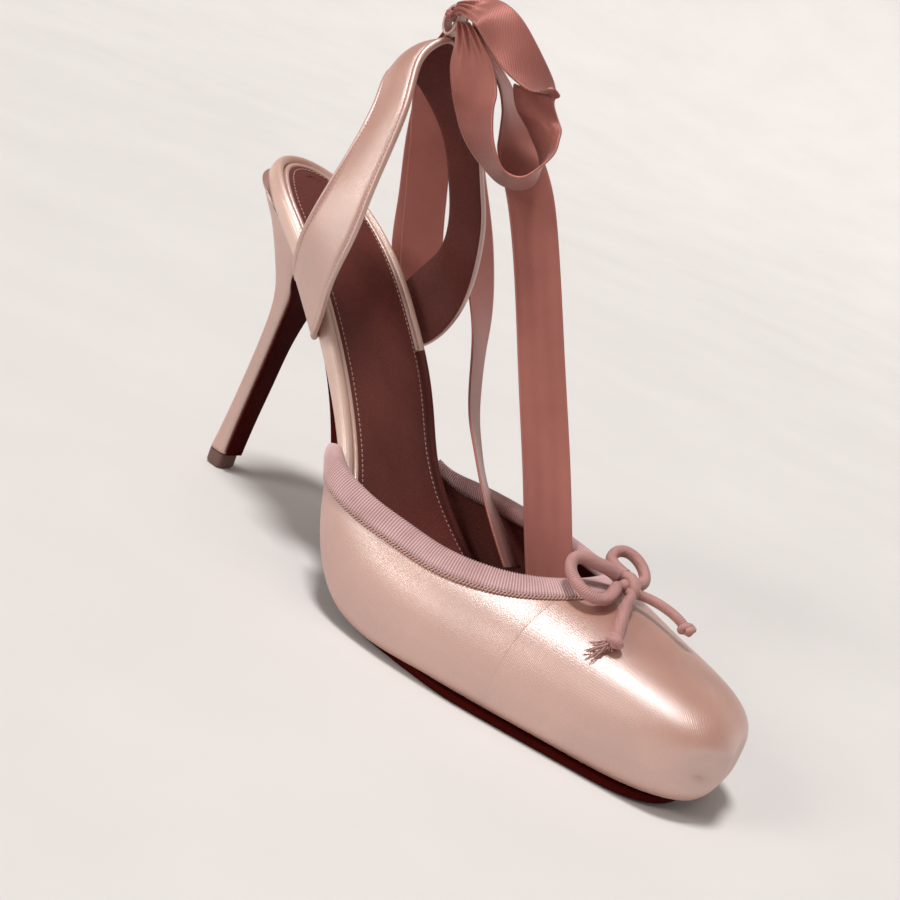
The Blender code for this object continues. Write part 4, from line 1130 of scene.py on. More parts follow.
@dataclass
class AnkleRibbon:
    """Flat ribbon that hangs from the keeper in two loops and two ends."""

    tilt: float = 26.6        # degrees that it leans forward
    turn: float = 37.0        # degrees that its face turns from the shoe's side
    knot: tuple[float, float, float] = (32.6, -3.4, 166.6)
    keeper: tuple[float, float, float] = KEEPER
    width: float = 15.0
    wall: float = 0.5
    pleats: float = 3.0
    pleat_depth: float = 1.5
    selvage: float = 0.12
    rows: int = 190           # sections of a run
    columns: int = 25
    gather_radius: float = 1.35

    def __post_init__(self) -> None:
        """Set up the runs: sideways, down and away from the knot, then the width's direction."""
        self.folds = (
            Fold("ribbon_front_fold", "ribbon_front_loop", (
                (-0.4, -0.2, 0, -70, 16, 4), (2.8, 0.2, -3, -64, 40, 8), (5.6, 1, -4, -62, 42, 13),
                (9.5, 3.4, -5, -54, 32, 15), (13.4, 8.2, -5, -48, 22, 15),
                (16.8, 13.8, -5, -40, 26, 15), (20.6, 19.2, -4, -31, 38, 15),
                (24, 23.4, -3, -28, 55, 16.2), (26, 25.3, -2, -20, 74, 17),
                (25.4, 25.2, -1.4, 4, 104, 17), (23.6, 25, -0.6, 22, 134, 16.4),
                (22, 26.5, 0, 30, 157, 15), (22.6, 29.4, 0, 27, 160, 15),
                (24, 33.4, 0, 26, 148, 15), (25.1, 37.9, 0, 28, 124, 15),
                (25.6, 42.6, 0, 30, 106, 15), (23.8, 47.2, 0, 40, 90, 15),
                (18.4, 51, 0, 80, 86, 15), (13, 49.6, 0, 126, 85, 15),
                (9.4, 45.6, -1, 160, 78, 15), (6.9, 41, -1.6, 172, 68, 15),
                (5, 35, -2, 178, 54, 15), (4.3, 28.6, -2.6, 184, 40, 15),
                (4, 22.6, -3, 187, 28, 15), (3.4, 17, -3, 187, 26, 14),
                (2.6, 11.6, -3, 188, 30, 10), (1.8, 7, -2, 190, 34, 7), (1, 3.6, -1, 192, 36, 4)),
                FarEnd.KNOT),
            Fold("ribbon_rear_fold", "ribbon_rear_loop", (
                (-1.2, 0.8, 11, 180, 0, 4), (-5, 5, 21, 182, 20, 8), (-8, 9.6, 32, 184, 30, 12),
                (-8.8, 18, 43, 186, 30, 15), (-9.3, 28, 50, 185, 25, 15),
                (-10.2, 38, 55.2, 184, 22, 15), (-11.2, 48, 58.4, 184, 22, 15),
                (-12.1, 58, 61, 183, 22, 15), (-12.5, 67, 62, 182, 20, 15),
                (-12.9, 77, 63, 182, 18, 15), (-13.6, 87, 63.6, 181, 16, 15),
                (-14.8, 90.6, 66, 180, 16, 15), (-16, 87, 68.8, 180, 16, 15),
                (-16, 76, 69.4, 180, 14, 15), (-15.2, 58, 69, 182, 14, 15),
                (-13.3, 44, 66.6, 184, 20, 15), (-11.8, 29, 60, 186, 24, 14),
                (-8.6, 14, 46, 186, 20, 12), (-5, 6, 31, 184, 10, 8),
                (-1, 1.2, 17.6, 184, 6, 4)),
                FarEnd.KNOT),
            Fold("ribbon_near_tail", "ribbon_near_end", (
                (3.6, 3.6, 3, -20, 30, 4), (6.6, 8, 6.4, -24, 58, 9), (10.6, 14.4, 9, -34, 70, 13),
                (13.4, 19, 11, -36, 70, 15), (15, 24, 12, -30, 68, 15),
                (16.2, 29.2, 12, -18, 60, 15), (17.1, 35.8, 12, -10, 43, 15),
                (18.8, 42, 12, -3, 24, 15), (21.2, 51.6, 12, -2, 14, 14.8),
                (22.8, 64, 12, 1, 8, 14.4), (25, 107, 9, 3, 4, 14.4), (26.4, 143, 4, 2, -6, 14.4),
                (26.8, 163, 2, 0, -14, 14.4), (27.3, 173, 1, 0, -18, 14.4)),
                FarEnd.BARE),
            Fold("ribbon_far_tail", "ribbon_far_end", (
                (3.2, 1.4, 10.4, -10, 16, 4), (3, 7, 19, -16, 40, 8), (3, 18, 31, -16, 50, 12),
                (3.4, 31, 39, -14, 50, 13), (4.2, 41, 45, -13, 50, 14),
                (5.2, 50.5, 49, -11, 49, 15), (6.3, 61, 52, -10, 48, 15),
                (7.1, 72, 53.4, -9, 52, 15), (7.6, 81, 53.2, -9, 59, 15),
                (7.5, 89, 51, -11, 66, 15), (6.6, 98, 46, -14, 72, 15),
                (5.4, 110, 38.8, -14, 75, 15), (5.1, 120.4, 32, -8, 78, 15),
                (6, 129, 27.4, 0, 81, 15), (8, 141, 22.4, 6, 82, 15), (11.4, 152, 18, 6, 76, 15),
                (16.5, 166, 14, 8, 68, 14)),
                FarEnd.BARE))

    def axes(self) -> tuple[Array, Array, Array]:
        """Sideways, down and away: the directions that the ribbon hangs in."""
        tilt, turn = math.radians(self.tilt), math.radians(self.turn)
        forward = np.array([math.cos(tilt), 0, math.sin(tilt)])
        left = np.array([0, 1.0, 0])
        side = math.cos(turn) * forward + math.sin(turn) * left
        away = -math.sin(turn) * forward + math.cos(turn) * left
        return side, np.array([math.sin(tilt), 0, -math.cos(tilt)]), away

    def run(self, fold: Fold, count: int) -> tuple[Array, Array, Array]:
        """Middle line of a run, the direction of its width, and the width."""
        side, down, away = self.axes()
        rows = resample(np.array(fold.rows, dtype=float), count, spatial=3)
        across, drop, depth, point, turn, width = rows.T
        middle = (np.array(self.knot) + across[:, None] * side + drop[:, None] * down
                  + depth[:, None] * away)
        point, turn = np.radians(point), np.radians(turn)
        reach = (np.cos(turn) * np.cos(point))[:, None] * side
        reach = reach + (np.cos(turn) * np.sin(point))[:, None] * down
        return middle, unit(reach + np.sin(turn)[:, None] * away), width

    def build(self, fold: Fold, finish: Material) -> Object:
        """Build one run of ribbon, pleated where it gathers into the knot."""
        middle, across, width = self.run(fold, self.rows)
        along = unit(np.gradient(middle, axis=0))
        out = unit(np.cross(along, across))
        share = np.linspace(-1, 1, self.columns)
        gathered = np.clip(1 - width / self.width, 0, 1)[:, None]
        pleat = self.pleat_depth * gathered * np.sin(self.pleats * math.pi * share)[None, :]
        swell = self.selvage * (np.abs(share) > 0.93)
        half = self.wall / 2
        flat = middle[:, None, :] + across[:, None, :] * (share * width[:, None] / 2)[..., None]
        front = flat + out[:, None, :] * (pleat + half + swell)[..., None]
        rear = flat + out[:, None, :] * (pleat - half - swell)[..., None]
        points = np.concatenate([front, rear[:, ::-1]], axis=1)
        run = np.zeros((len(middle), points.shape[1] + 1, 2))
        run[..., 0] = arc_lengths(middle)[:, None]
        spread = (share + 1) * self.width / 2
        run[..., 1] = np.concatenate([spread, spread[::-1], spread[:1]])[None, :]
        made = mesh_piece(fold.name, [Sheet(points, run=run, wrap=True, caps=True)], [finish])
        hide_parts(fold.node)
        return made

    def gather(self, finish: Material) -> Object:
        """Build the gathered ribbon that passes through the keeper."""
        path = resample(np.array(self.keeper) + np.array(
            [(0, 4.8, 1.0), (0, 2.2, 1.0), (0, -2.2, 1.0), (1.6, -5.0, 1.5)]), 40)
        pleats = 0.10 * np.sin(7 * circle(40))[None, :]
        made = mesh_piece("ribbon_gather", [tube(path, self.gather_radius, 40, ripple=pleats)],
                          [finish])
        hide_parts("ribbon_knot")
        return made

    def hang(self, finish: Material) -> None:
        """Build the gathered ribbon and every run, and log each run's length."""
        gather = self.gather(finish)
        for fold in self.folds:
            made = self.build(fold, finish)
            middle, _, _ = self.run(fold, 60)
            LOG.info("%s, %.0f mm of ribbon", fold.name, arc_lengths(middle)[-1])


@dataclass
class ThroatBow:
    """Small bow of round cord at the throat, with knotted and frayed ends."""

    place: tuple[float, float, float] = (157.0, 0.5, 41.4)
    radius: float = 1.9
    rib_pitch: float = 0.62
    step: float = 0.1         # length between two sections of a lace
    sides: int = 22
    threads: int = 16         # long threads of the frayed end
    fuzz: int = 18            # short ones round its root
    seed: int = 7

    def __post_init__(self) -> None:
        """Set up the routes, from the bow's knot."""
        self.outer_loop = (
            (-3.4, -1.9, 2.0), (-5.2, -5.4, 3.2), (-7.2, -9.0, 4.0), (-9.4, -12.4, 4.6),
            (-10.4, -15.4, 3.8), (-8.8, -17.8, 1.8), (-5.4, -18.8, 0.0), (-1.4, -17.8, -1.6),
            (1.4, -14.0, -2.2), (1.2, -9.0, -1.2), (-0.6, -5.0, -0.4))
        self.inner_loop = (
            (-3.2, 3.0, 1.4), (-7.4, 3.8, 1.6), (-10.6, 5.6, 2.4), (-11.4, 8.2, 4.0),
            (-10.0, 10.6, 4.8), (-6.4, 11.8, 4.2), (-2.2, 10.6, 2.6), (0.4, 7.8, 1.2),
            (0.8, 4.4, 0.4))
        self.outer_end = ((3.7, -3.0, -0.6), (6.0, -7.8, -1.8), (9.0, -13.2, -3.8),
                          (12.0, -18.4, -6.4), (13.2, -20.4, -7.0))
        self.inner_end = ((4.4, 2.2, -0.8), (7.0, 3.6, -0.8), (11.2, 4.6, -1.0),
                          (16.0, 5.4, -2.0), (18.2, 5.9, -3.0))

    def at(self, *steps: tuple[float, float, float]) -> Array:
        """Points of a route in the shoe's frame."""
        return np.array(self.place) + np.array(steps)

    def ribs(self, path: Array, sides: int) -> Array:
        """The fine diagonal ribs of the knitted cord."""
        run = arc_lengths(path)
        turn = circle(sides)
        phase = 2 * math.pi * run[:, None] / self.rib_pitch
        return 0.045 * np.sin(phase + 2 * turn[None, :]) + 0.03 * np.sin(
            turn[None, :] + run[:, None] / 6.0)

    def lace(self, name: str, route: Array, radius: Array, finish: Material,
             nodes: tuple[str, ...]) -> Object:
        """Build one run of cord."""
        path = resample(route, int(arc_lengths(route)[-1] / self.step))
        size = np.interp(np.linspace(0, 1, len(path)), np.linspace(0, 1, len(radius)), radius)
        skin = tube(path, size, self.sides, flat=0.86, ripple=self.ribs(path, self.sides))
        made = mesh_piece(name, [skin], [finish])
        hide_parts(*nodes)
        return made

    def pulled_knot(self, name: str, middle: Array, along: Array, size: float,
                    finish: Material, nodes: tuple[str, ...]) -> Object:
        """Build a pulled-tight overhand knot: a short cord wound round its middle.

        Args:
            name: the piece's name.
            middle: the knot's middle.
            along: direction that the cord runs in.
            size: half width of the knot.
            finish: its material.
            nodes: nodes that it stands for.

        Returns:
            The object.
        """
        along = unit(along)
        over = unit(np.cross(along, (0.1, 0.2, 1.0)))
        up = np.cross(over, along)
        turn = np.linspace(0, 2.6 * math.pi, 70)
        pull = 0.55 * size
        path = (middle + over * (pull * np.cos(turn))[:, None]
                + up * (pull * np.sin(turn))[:, None]
                + along * (0.42 * size * np.sin(turn * 0.77 + 0.4))[:, None])
        core = resample(np.array([middle - along * size * 0.9, middle,
                                  middle + along * size * 0.9]), 30)
        sheets = [tube(path, 0.46 * size, 14, ripple=self.ribs(path, 14) * 1.6),
                  tube(core, 0.62 * size * np.sin(np.linspace(0.5, 2.64, 30)), 14)]
        made = mesh_piece(name, sheets, [finish])
        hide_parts(*nodes)
        return made

    def band(self, finish: Material) -> Object:
        """Build the middle of the bow, where the cord wraps over itself."""
        wrap = resample(self.at((-3.1, 0.6, -1.2), (-2.7, 0.3, 1.2), (-0.9, 0.1, 2.6),
                                (1.4, -0.4, 2.3), (3.0, -1.0, 0.6), (3.2, -1.4, -1.4)), 60)
        core = resample(self.at((-0.4, -3.4, 0.2), (0.0, -1.5, 0.4), (0.2, 1.5, 0.5),
                                (0.2, 3.4, 0.4)), 40)
        sheets = [tube(wrap, 1.75, 20, flat=0.8, ripple=self.ribs(wrap, 20)),
                  tube(core, 1.95 * np.sin(np.linspace(0.7, 2.44, 40)), 18,
                       ripple=self.ribs(core, 18))]
        made = mesh_piece("bow_wrap", sheets, [finish])
        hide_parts("bow_knot")
        return made

    def fray(self, finish: Material) -> Object:
        """Build the loose threads and the soft flap beyond the front end's knot."""
        chance = np.random.default_rng(self.seed)
        start = self.at((13.2, -22.0, -7.4))[0]
        sheets = []
        for _ in range(self.threads):
            reach = chance.uniform(3.2, 7.6)
            lean = unit(np.array([-0.34, -0.66, -0.62]) + chance.normal(0, 0.16, 3))
            bend = chance.normal(0, 0.8, 3)
            steps = np.linspace(0, 1, 9)[:, None]
            path = start + chance.normal(0, 0.6, 3) + lean * reach * steps + bend * steps ** 2
            sheets.append(tube(path, chance.uniform(0.13, 0.24), 5))
        for _ in range(self.fuzz):
            lean = unit(chance.normal(0, 1, 3))
            steps = np.linspace(0, 1, 6)[:, None]
            path = start + lean * 1.4 + lean * 1.2 * steps + chance.normal(0, 0.5, 3) * steps ** 2
            sheets.append(tube(path, 0.1, 4))
        return mesh_piece("bow_fray", sheets, [finish])

    def tie(self, finish: Material) -> None:
        runs = (
            ("bow_outer_lace", self.outer_loop, ((-1.6, -1.6, -0.6), (1.2, 0.4, -1.0)),
             self.inner_end, 0.85, ("bow_outer_loop", "bow_inner_end")),
            ("bow_inner_lace", self.inner_loop, ((0.6, 1.2, -0.4), (1.6, -1.0, -0.6)),
             self.outer_end, 1.0, ("bow_inner_loop", "bow_outer_end")))
        wrap = self.band(finish)
        outer_knot = self.pulled_knot("bow_outer_stop", self.at((13.6, -21.2, -7.2))[0],
                                      np.array([0.45, -0.85, -0.4]), 2.5, finish,
                                      ("bow_outer_end_knot",))
        inner_knot = self.pulled_knot("bow_inner_stop", self.at((18.8, 6.0, -3.4))[0],
                                      np.array([0.9, 0.15, -0.4]), 2.3, finish,
                                      ("bow_inner_end_knot",))
        fray = self.fray(finish)
        for name, loop, link, end, slim, nodes in runs:
            route = self.at(*loop, *link, *end)
            radius = self.radius * np.array([1.0] * len(loop) + [0.8] * 2 + [slim] * len(end))
            made = self.lace(name, route, radius, finish, nodes)
            path = resample(route, 70)
            LOG.info("%s, %.0f mm of cord", name, arc_lengths(path)[-1])


# ================================================================ finishes

class Graph:
    """A node tree that is filled by naming nodes, sockets and values."""

    def __init__(self, tree: bpy.types.NodeTree, owner: Material | None = None) -> None:
        """Keep the tree, and the material that owns it where it has one."""
        self.tree = tree
        self.owner = owner

    def put(self, node: bpy.types.Node, key: str | int, value: object) -> None:
        """Link a socket to a node's input, or set the input's value."""
        if isinstance(value, bpy.types.NodeSocket):
            self.tree.links.new(value, node.inputs[key])
        else:
            node.inputs[key].default_value = value

    def node(self, kind: str, inputs: dict | None = None, **settings) -> bpy.types.Node:
        """Add a node.

        Args:
            kind: the node's type without its first words.
            inputs: sockets by name or number, each with a value or a socket to link.
            settings: the node's own settings.

        Returns:
            The node.
        """
        made = self.tree.nodes.new("ShaderNode" + kind)
        for key, value in settings.items():
            setattr(made, key, value)
        for key, value in (inputs or {}).items():
            self.put(made, key, value)
        return made

    def math(self, operation: str, *values: float | Socket, clamp: bool = False) -> Socket:
        """A sum, product or the like."""
        return self.node("Math", dict(enumerate(values)), operation=operation,
                         use_clamp=clamp).outputs[0]

    def dot(self, a: Socket, b: Socket | tuple) -> Socket:
        """Dot product of two vectors."""
        return self.node("VectorMath", {0: a, 1: b}, operation="DOT_PRODUCT").outputs["Value"]

    def mix(self, share: float | Socket, a: Socket | tuple, b: Socket | tuple) -> Socket:
        """Colour between a and b."""
        a, b = ((*colour, 1) if isinstance(colour, tuple) else colour for colour in (a, b))
        return self.node("Mix", {0: share, 6: a, 7: b}, data_type="RGBA").outputs[2]

    def ramp(self, value: Socket, low: float, high: float, start: float = 0.0,
             end: float = 1.0) -> Socket:
        """Value carried from the range low-high to start-end."""
        return self.node("MapRange", {0: value, 1: low, 2: high, 3: start, 4: end}).outputs[0]

    def group(self, tree: bpy.types.NodeTree, **inputs: object) -> bpy.types.Node:
        """Place a group with its values."""
        made = self.node("Group", node_tree=tree)
        for key, value in inputs.items():
            self.put(made, key, value)
        return made

    def cloth(self) -> Socket:
        """The piece's own lengths in metres."""
        return self.node("UVMap", uv_map=CLOTH).outputs["UV"]


def effect(name: str, ins: dict[str, tuple[str, object]], outs: tuple[str, ...],
           fill: Callable[[Graph, Sockets], dict[str, Socket]]) -> bpy.types.NodeTree:
    """A shader node group, built once and used in several materials.

    Args:
        name: the group's name.
        ins: its inputs, each with the kind of socket and the value it starts at.
        outs: its outputs, all of them plain values.
        fill: function of the graph and the inputs' sockets that returns the outputs' sockets.

    Returns:
        The group.
    """
    if name in bpy.data.node_groups:
        return bpy.data.node_groups[name]
    tree = bpy.data.node_groups.new(name, "ShaderNodeTree")
    for key, (kind, value) in ins.items():
        socket = tree.interface.new_socket(key, in_out="INPUT", socket_type=kind)
        if value is not None:
            socket.default_value = value
    for key in outs:
        tree.interface.new_socket(key, in_out="OUTPUT", socket_type="NodeSocketFloat")
    start = tree.nodes.new("NodeGroupInput")
    end = tree.nodes.new("NodeGroupOutput")
    for key, socket in fill(Graph(tree), start.outputs).items():
        tree.links.new(socket, end.inputs[key])
    return tree


FLOAT, VECTOR = "NodeSocketFloat", "NodeSocketVector"


def weave() -> bpy.types.NodeTree:
    """Crossing threads: their height, and Shade, which is low in the grooves where painted shade
    goes, from cycles per metre along the cloth.
    """
    def fill(graph: Graph, ins: Sockets) -> dict[str, Socket]:
        wander = graph.node("TexNoise", {"Vector": ins["Cloth"], "Scale": 260.0, "Detail": 2.0})
        loose = graph.math("MULTIPLY", wander.outputs["Fac"], ins["Wander"])
        waves = []
        for key in ("Warp", "Weft"):
            cycles = graph.math("ADD", graph.dot(ins["Cloth"], ins[key]), loose)
            wave = graph.math("SINE", graph.math("MULTIPLY", cycles, 2 * math.pi))
            waves.append(graph.math("MULTIPLY_ADD", wave, 0.5, 0.5))
        both = graph.math("MULTIPLY", waves[0], graph.math("MULTIPLY_ADD", waves[1], 0.45, 0.55))
        fuzz = graph.node("TexNoise", {"Vector": ins["Cloth"], "Scale": 2600.0, "Detail": 3.0})
        height = graph.math("MULTIPLY_ADD", fuzz.outputs["Fac"], ins["Fuzz"], both)
        return {"Height": height, "Shade": both}
    return effect("woven_threads", {
        "Cloth": (VECTOR, None), "Warp": (VECTOR, (0, 1500, 0)), "Weft": (VECTOR, (1500, 0, 0)),
        "Wander": (FLOAT, 0.2), "Fuzz": (FLOAT, 0.4)}, ("Height", "Shade"), fill)


def mottle() -> bpy.types.NodeTree:
    """Soft uneven patches and fine specks over a piece, as masks from 0 to 1; the satin paints its
    glints at the specks.
    """
    def fill(graph: Graph, ins: Sockets) -> dict[str, Socket]:
        place = graph.node("TexCoord").outputs["Object"]
        patch = graph.node("TexNoise", {"Vector": place, "Scale": ins["Patches"],
                                        "Detail": 3.0, "Roughness": 0.55})
        speck = graph.node("TexNoise", {"Vector": place, "Scale": ins["Specks"],
                                        "Detail": 2.0, "Roughness": 0.7})
        return {"Patch": graph.ramp(patch.outputs["Fac"], 0.3, 0.7),
                "Speck": graph.ramp(speck.outputs["Fac"], 0.35, 0.7)}
    return effect("soft_mottle", {"Patches": (FLOAT, 60.0), "Specks": (FLOAT, 2200.0)},
                  ("Patch", "Speck"), fill)


def grain() -> bpy.types.NodeTree:
    """Leather grain: small cells with creases between them, and fine pores."""
    def fill(graph: Graph, ins: Sockets) -> dict[str, Socket]:
        place = graph.node("TexCoord").outputs["Object"]
        cell = graph.node("TexVoronoi", {"Vector": place, "Scale": ins["Cells"],
                                         "Randomness": 1.0}, feature="DISTANCE_TO_EDGE")
        crease = graph.ramp(cell.outputs["Distance"], 0.0, 0.18)
        pore = graph.node("TexNoise", {"Vector": place, "Scale": 4200.0, "Detail": 2.0})
        height = graph.math("MULTIPLY_ADD", pore.outputs["Fac"], 0.35, crease)
        return {"Height": height, "Crease": crease}
    return effect("leather_grain", {"Cells": (FLOAT, 900.0)}, ("Height", "Crease"), fill)


@dataclass(frozen=True)
class Finish:
    """What every finish shares: its name, its two colours and its gloss."""

    name: str
    light: Colour
    deep: Colour
    roughness: float

    def start(self, **sockets: float | Colour) -> tuple[Graph, bpy.types.Node]:
        """A material's tree with the shader's constants set on its own sockets."""
        made = bpy.data.materials.new(self.name)
        made.use_nodes = True
        graph = Graph(made.node_tree, made)
        shader = made.node_tree.nodes["Principled BSDF"]
        shader.inputs["Roughness"].default_value = self.roughness
        for key, value in sockets.items():
            socket = shader.inputs[key.replace("_", " ")]
            socket.default_value = (*value, 1) if isinstance(value, tuple) else value
        return graph, shader

    def finish(self, graph: Graph, shader: bpy.types.Node, colour: Socket,
               height: Socket | None, depth: float) -> Material:
        """Wire the colour and the relief into the shader.

        Args:
            graph: the material's tree.
            shader: its Principled node.
            colour: the base colour.
            height: the relief from 0 to 1.
            depth: the relief's depth in metres.

        Returns:
            The material.
        """
        graph.tree.links.new(colour, shader.inputs["Base Color"])
        if height is not None:
            bump = graph.node("Bump", {"Height": height, "Strength": 1.0, "Distance": depth})
            graph.tree.links.new(bump.outputs["Normal"], shader.inputs["Normal"])
        return graph.owner


@dataclass(frozen=True)
class Satin(Finish):
    """Pearly woven satin: broad sheen, with fine glints that are glossier specks and a painted
    highlight in its colour.
    """

    metal: float = 0.0
    ior: float = 3.3
    # strength of the glints: glossier specks, also lightened in colour as a painted highlight
    glints: float = 0.6
    depth: float = 0.00003

    def material(self) -> Material:
        """Build the material."""
        graph, shader = self.start(Metallic=self.metal, IOR=self.ior, Sheen_Weight=0.2,
                                   Sheen_Roughness=0.4)
        marks = graph.group(mottle(), Patches=42.0, Specks=2600.0)
        threads = graph.group(weave(), Cloth=graph.cloth(), Warp=(2100, 0, 0),
                             Weft=(0, 2100, 0), Wander=0.6, Fuzz=0.8)
        soft = graph.mix(marks.outputs["Patch"], self.deep, self.light)
        # painted glints: the colour is lightened at the specks
        lit = graph.mix(graph.math("MULTIPLY", marks.outputs["Speck"], self.glints * 0.3), soft,
                        tuple(min(1.0, c * 1.18) for c in self.light))
        rough = graph.ramp(marks.outputs["Speck"], 0, 1, self.roughness + 0.1 * self.glints,
                           self.roughness - 0.12 * self.glints)
        graph.tree.links.new(rough, shader.inputs["Roughness"])
        height = graph.math("MULTIPLY_ADD", marks.outputs["Speck"], 0.8,
                            threads.outputs["Height"])
        return self.finish(graph, shader, lit, height, self.depth)


@dataclass(frozen=True)
class Woven(Finish):
    """Matt to silky cloth with threads that show, and painted shade in the grooves between them."""

    warp: tuple[float, float, float] = (0, 1500, 0)
    weft: tuple[float, float, float] = (1500, 0, 0)
    depth: float = 0.00006
    sheen: float = 0.4
    metal: float = 0.0
    wander: float = 0.35
    # share of the deep colour painted as shade in the grooves between threads
    groove_shade: float = 0.5
    edge: float = 0.0         # width of the ribbon whose edges get a painted highlight, 0 for none

    def material(self) -> Material:
        """Build the material."""
        graph, shader = self.start(Sheen_Weight=self.sheen, Sheen_Roughness=0.35,
                                   Metallic=self.metal, Specular_IOR_Level=0.4)
        marks = graph.group(mottle(), Patches=70.0, Specks=1800.0)
        cloth = graph.cloth()
        threads = graph.group(weave(), Cloth=cloth, Warp=self.warp, Weft=self.weft,
                             Wander=self.wander, Fuzz=0.5)
        soft = graph.mix(graph.math("MULTIPLY", marks.outputs["Patch"], 0.5), self.light,
                         self.deep)
        # painted shade: the grooves between the threads are darkened towards the deep colour
        shade = graph.math("MULTIPLY_ADD", threads.outputs["Shade"], -self.groove_shade,
                           self.groove_shade)
        colour = graph.mix(shade, soft, self.deep)
        # painted highlight: a narrow paler band along both edges of the ribbon
        if self.edge:
            across = graph.node("SeparateXYZ", {0: cloth}).outputs["Y"]
            off = graph.math("ABSOLUTE", graph.math("SUBTRACT", across, self.edge / 2))
            rim = graph.ramp(off, self.edge * 0.455, self.edge * 0.475)
            colour = graph.mix(graph.math("MULTIPLY", rim, 0.5), colour,
                               tuple(min(1.0, c * 1.15) for c in self.light))
        return self.finish(graph, shader, colour, threads.outputs["Height"], self.depth)


@dataclass(frozen=True)
class Leather(Finish):
    """Smooth leather with fine grain and soft wear."""

    cells: float = 900.0
    depth: float = 0.00004
    gloss: float = 0.2

    def material(self) -> Material:
        """Build the material."""
        graph, shader = self.start(Specular_IOR_Level=self.gloss)
        marks = graph.group(mottle(), Patches=38.0, Specks=1500.0)
        skin = graph.group(grain(), Cells=self.cells)
        soft = graph.mix(marks.outputs["Patch"], self.deep, self.light)
        colour = graph.mix(graph.math("MULTIPLY_ADD", skin.outputs["Crease"], -0.35, 0.35), soft,
                           tuple(0.6 * c for c in self.deep))
        rough = graph.ramp(marks.outputs["Patch"], 0, 1, self.roughness + 0.07,
                           self.roughness - 0.05)
        graph.tree.links.new(rough, shader.inputs["Roughness"])
        return self.finish(graph, shader, colour, skin.outputs["Height"], self.depth)


# ================================================================ studio

@dataclass
class Studio:
    """Plain pale floor, soft light and the camera."""

    azimuth: float = 34.01
    elevation: float = 15.50
    roll: float = 21.96
    place: tuple[float, float, float] = (0.3388, -0.3753, 0.1733)
    lens: float = 62.7
    flat: float = 1300.0      # radius of the level floor, in millimetres as what follows
    reach: float = 1500.0     # width of the sweep beyond it
    height: float = 900.0
    drop: float = 0.2         # how far the floor lies under the shoe
    air: Colour = (0.95, 0.86, 0.80)
    air_power: float = 0.28

    def camera(self) -> None:
        """Set up the camera."""
        az, el, roll = (math.radians(v) for v in (self.azimuth, self.elevation, self.roll))
        back = np.array([math.cos(el) * math.sin(az), -math.cos(el) * math.cos(az),
                         math.sin(el)])
        level = np.array([math.cos(az), math.sin(az), 0.0])
        rise = np.cross(back, level)
        right = level * math.cos(roll) + rise * math.sin(roll)
        up = np.cross(back, right)
        data = bpy.data.cameras.new("camera")
        data.lens = self.lens
        data.sensor_width = 36.0
        data.clip_start = 0.01
        made = linked("camera", data)
        stand(made, (right, up, back), self.place)
        bpy.context.scene.camera = made

    def sun(self, name: str, toward: tuple[float, float, float], spread: float, power: float,
            colour: Colour) -> None:
        """Add a soft light from far off.

        Args:
            name: the light's name.
            toward: direction from the shoe to the light.
            spread: degrees that the light is wide.
            power: its strength.
            colour: its colour.
        """
        data = bpy.data.lights.new(name, "SUN")
        data.angle = math.radians(spread)
        data.energy = power
        data.color = colour
        back = unit(toward)
        side = unit(np.cross((0.0, 0.3, 1.0), back))
        stand(linked(name, data), (side, np.cross(back, side), back))

    def sweep(self) -> bpy.types.Mesh:
        """Flat floor that rises in a low round sweep far from the shoe."""
        rows = [(0.0, 0.0), (600.0, 0.0)]
        rows += [(self.flat + self.reach * math.sin(a), self.height * (1 - math.cos(a)))
                 for a in np.radians(np.linspace(0, 90, 16))]
        points = np.array([[(r * math.cos(t), r * math.sin(t), z - self.drop)
                            for t in circle(96)] for r, z in rows])
        return mesh_from("floor", [Sheet(points[::-1], wrap=True)])

    def build(self) -> None:
        """Build floor, world and lights."""
        mesh = self.sweep()
        mesh.shade_smooth()
        floor = linked("floor", mesh)
        pale = Finish("floor_paper", (0.80, 0.79, 0.78), (0.76, 0.75, 0.74), 0.7)
        graph, shader = pale.start(Specular_IOR_Level=0.2)
        marks = graph.group(mottle(), Patches=9.0, Specks=800.0)
        mesh.materials.append(pale.finish(
            graph, shader, graph.mix(marks.outputs["Patch"], pale.deep, pale.light), None, 0))
        world = bpy.data.worlds.new("studio")
        world.use_nodes = True
        back = world.node_tree.nodes["Background"]
        back.inputs["Color"].default_value = (*self.air, 1)
        back.inputs["Strength"].default_value = self.air_power
        bpy.context.scene.world = world
        bpy.context.scene.view_settings.view_transform = "Standard"
        self.sun("key", (-0.12, -0.20, 0.97), 12.0, 2.1, (1.0, 0.97, 0.96))
        self.sun("side", (-0.35, -0.80, 0.45), 22.0, 0.9, (1.0, 0.94, 0.88))


# ================================================================ the whole shoe

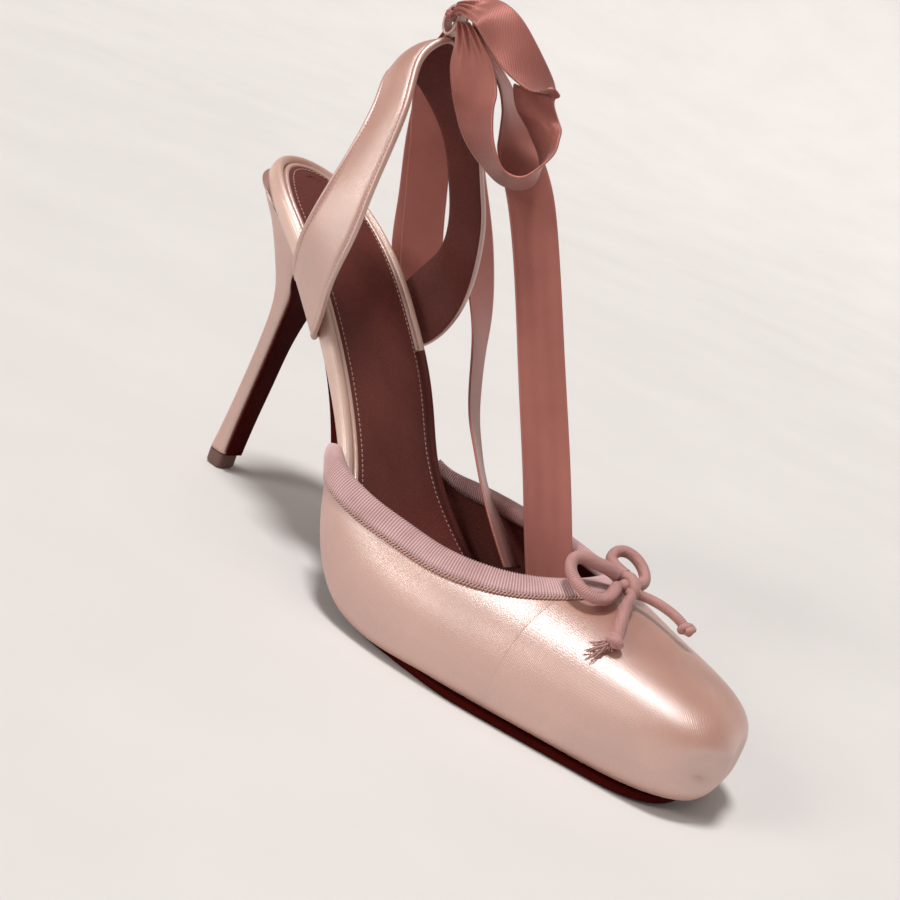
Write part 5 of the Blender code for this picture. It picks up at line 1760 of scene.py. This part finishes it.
def main() -> None:
    """Dress the shoe and log each piece."""
    logging.basicConfig(level=logging.INFO, format="%(name)s: %(message)s")
    studio = Studio()
    studio.camera()

    blush = Satin("blush_satin_looks", (0.53, 0.25, 0.18), (0.42, 0.185, 0.13),
                  0.38).material()
    champagne = Satin("champagne_satin_looks", (0.74, 0.46, 0.36), (0.62, 0.36, 0.27),
                      0.34).material()
    # the tape's deep colour is mostly the painted shade in the valleys between its ribs
    tape = Woven("grosgrain_looks", (0.94, 0.68, 0.69), (0.34, 0.17, 0.165), 0.55,
                 warp=(1000 / 0.85, 0, 0), weft=(0, 1900, 0), wander=0.03,
                 groove_shade=0.8).material()
    ribbon = Woven("ribbon_looks", (0.46, 0.17, 0.14), (0.31, 0.10, 0.08), 0.40,
                   warp=(1250, 1250, 0), weft=(900, -2400, 0), edge=0.015, sheen=0.3,
                   metal=0.3).material()
    cord = Woven("cord_looks", (0.60, 0.33, 0.31), (0.36, 0.18, 0.165), 0.62,
                 warp=(1600, 800, 0), weft=(700, 1800, 0)).material()
    thread = Woven("thread_looks", (0.66, 0.42, 0.37), (0.42, 0.22, 0.19), 0.5,
                   warp=(2500, 0, 0), weft=(0, 3000, 0)).material()
    rose = Leather("rose_leather_looks", (0.19, 0.052, 0.044), (0.13, 0.034, 0.027),
                   0.5).material()
    oxblood = Leather("oxblood_leather_looks", (0.060, 0.003, 0.002), (0.040, 0.002, 0.0015), 0.5,
                      gloss=0.03).material()
    rubber = Leather("tip_rubber_looks", (0.20, 0.11, 0.095), (0.15, 0.08, 0.07), 0.55,
                     cells=1500.0).material()

    AnkleRibbon().hang(ribbon)
    ThroatBow().tie(cord)

    last = Last()
    vamp = Vamp(last)
    heel = Heel(last)
    footbed = Footbed(last)
    strap = Slingback(last)
    pieces = [
        vamp.shell(blush, rose), vamp.tape(tape), vamp.tape_stitches(thread),
        Sole(last).build(heel, oxblood), heel.build(blush), heel.tip(rubber),
        footbed.rim(champagne, rose), footbed.piping(champagne), footbed.sock(rose),
        footbed.stitches(thread), strap.band(blush, rose), strap.stitches(thread),
        strap.loop(blush)]
    for piece in pieces:
        LOG.info("%s, %d faces", piece.name, len(piece.data.polygons))
    studio.build()


if __name__ == "__main__":
    main()
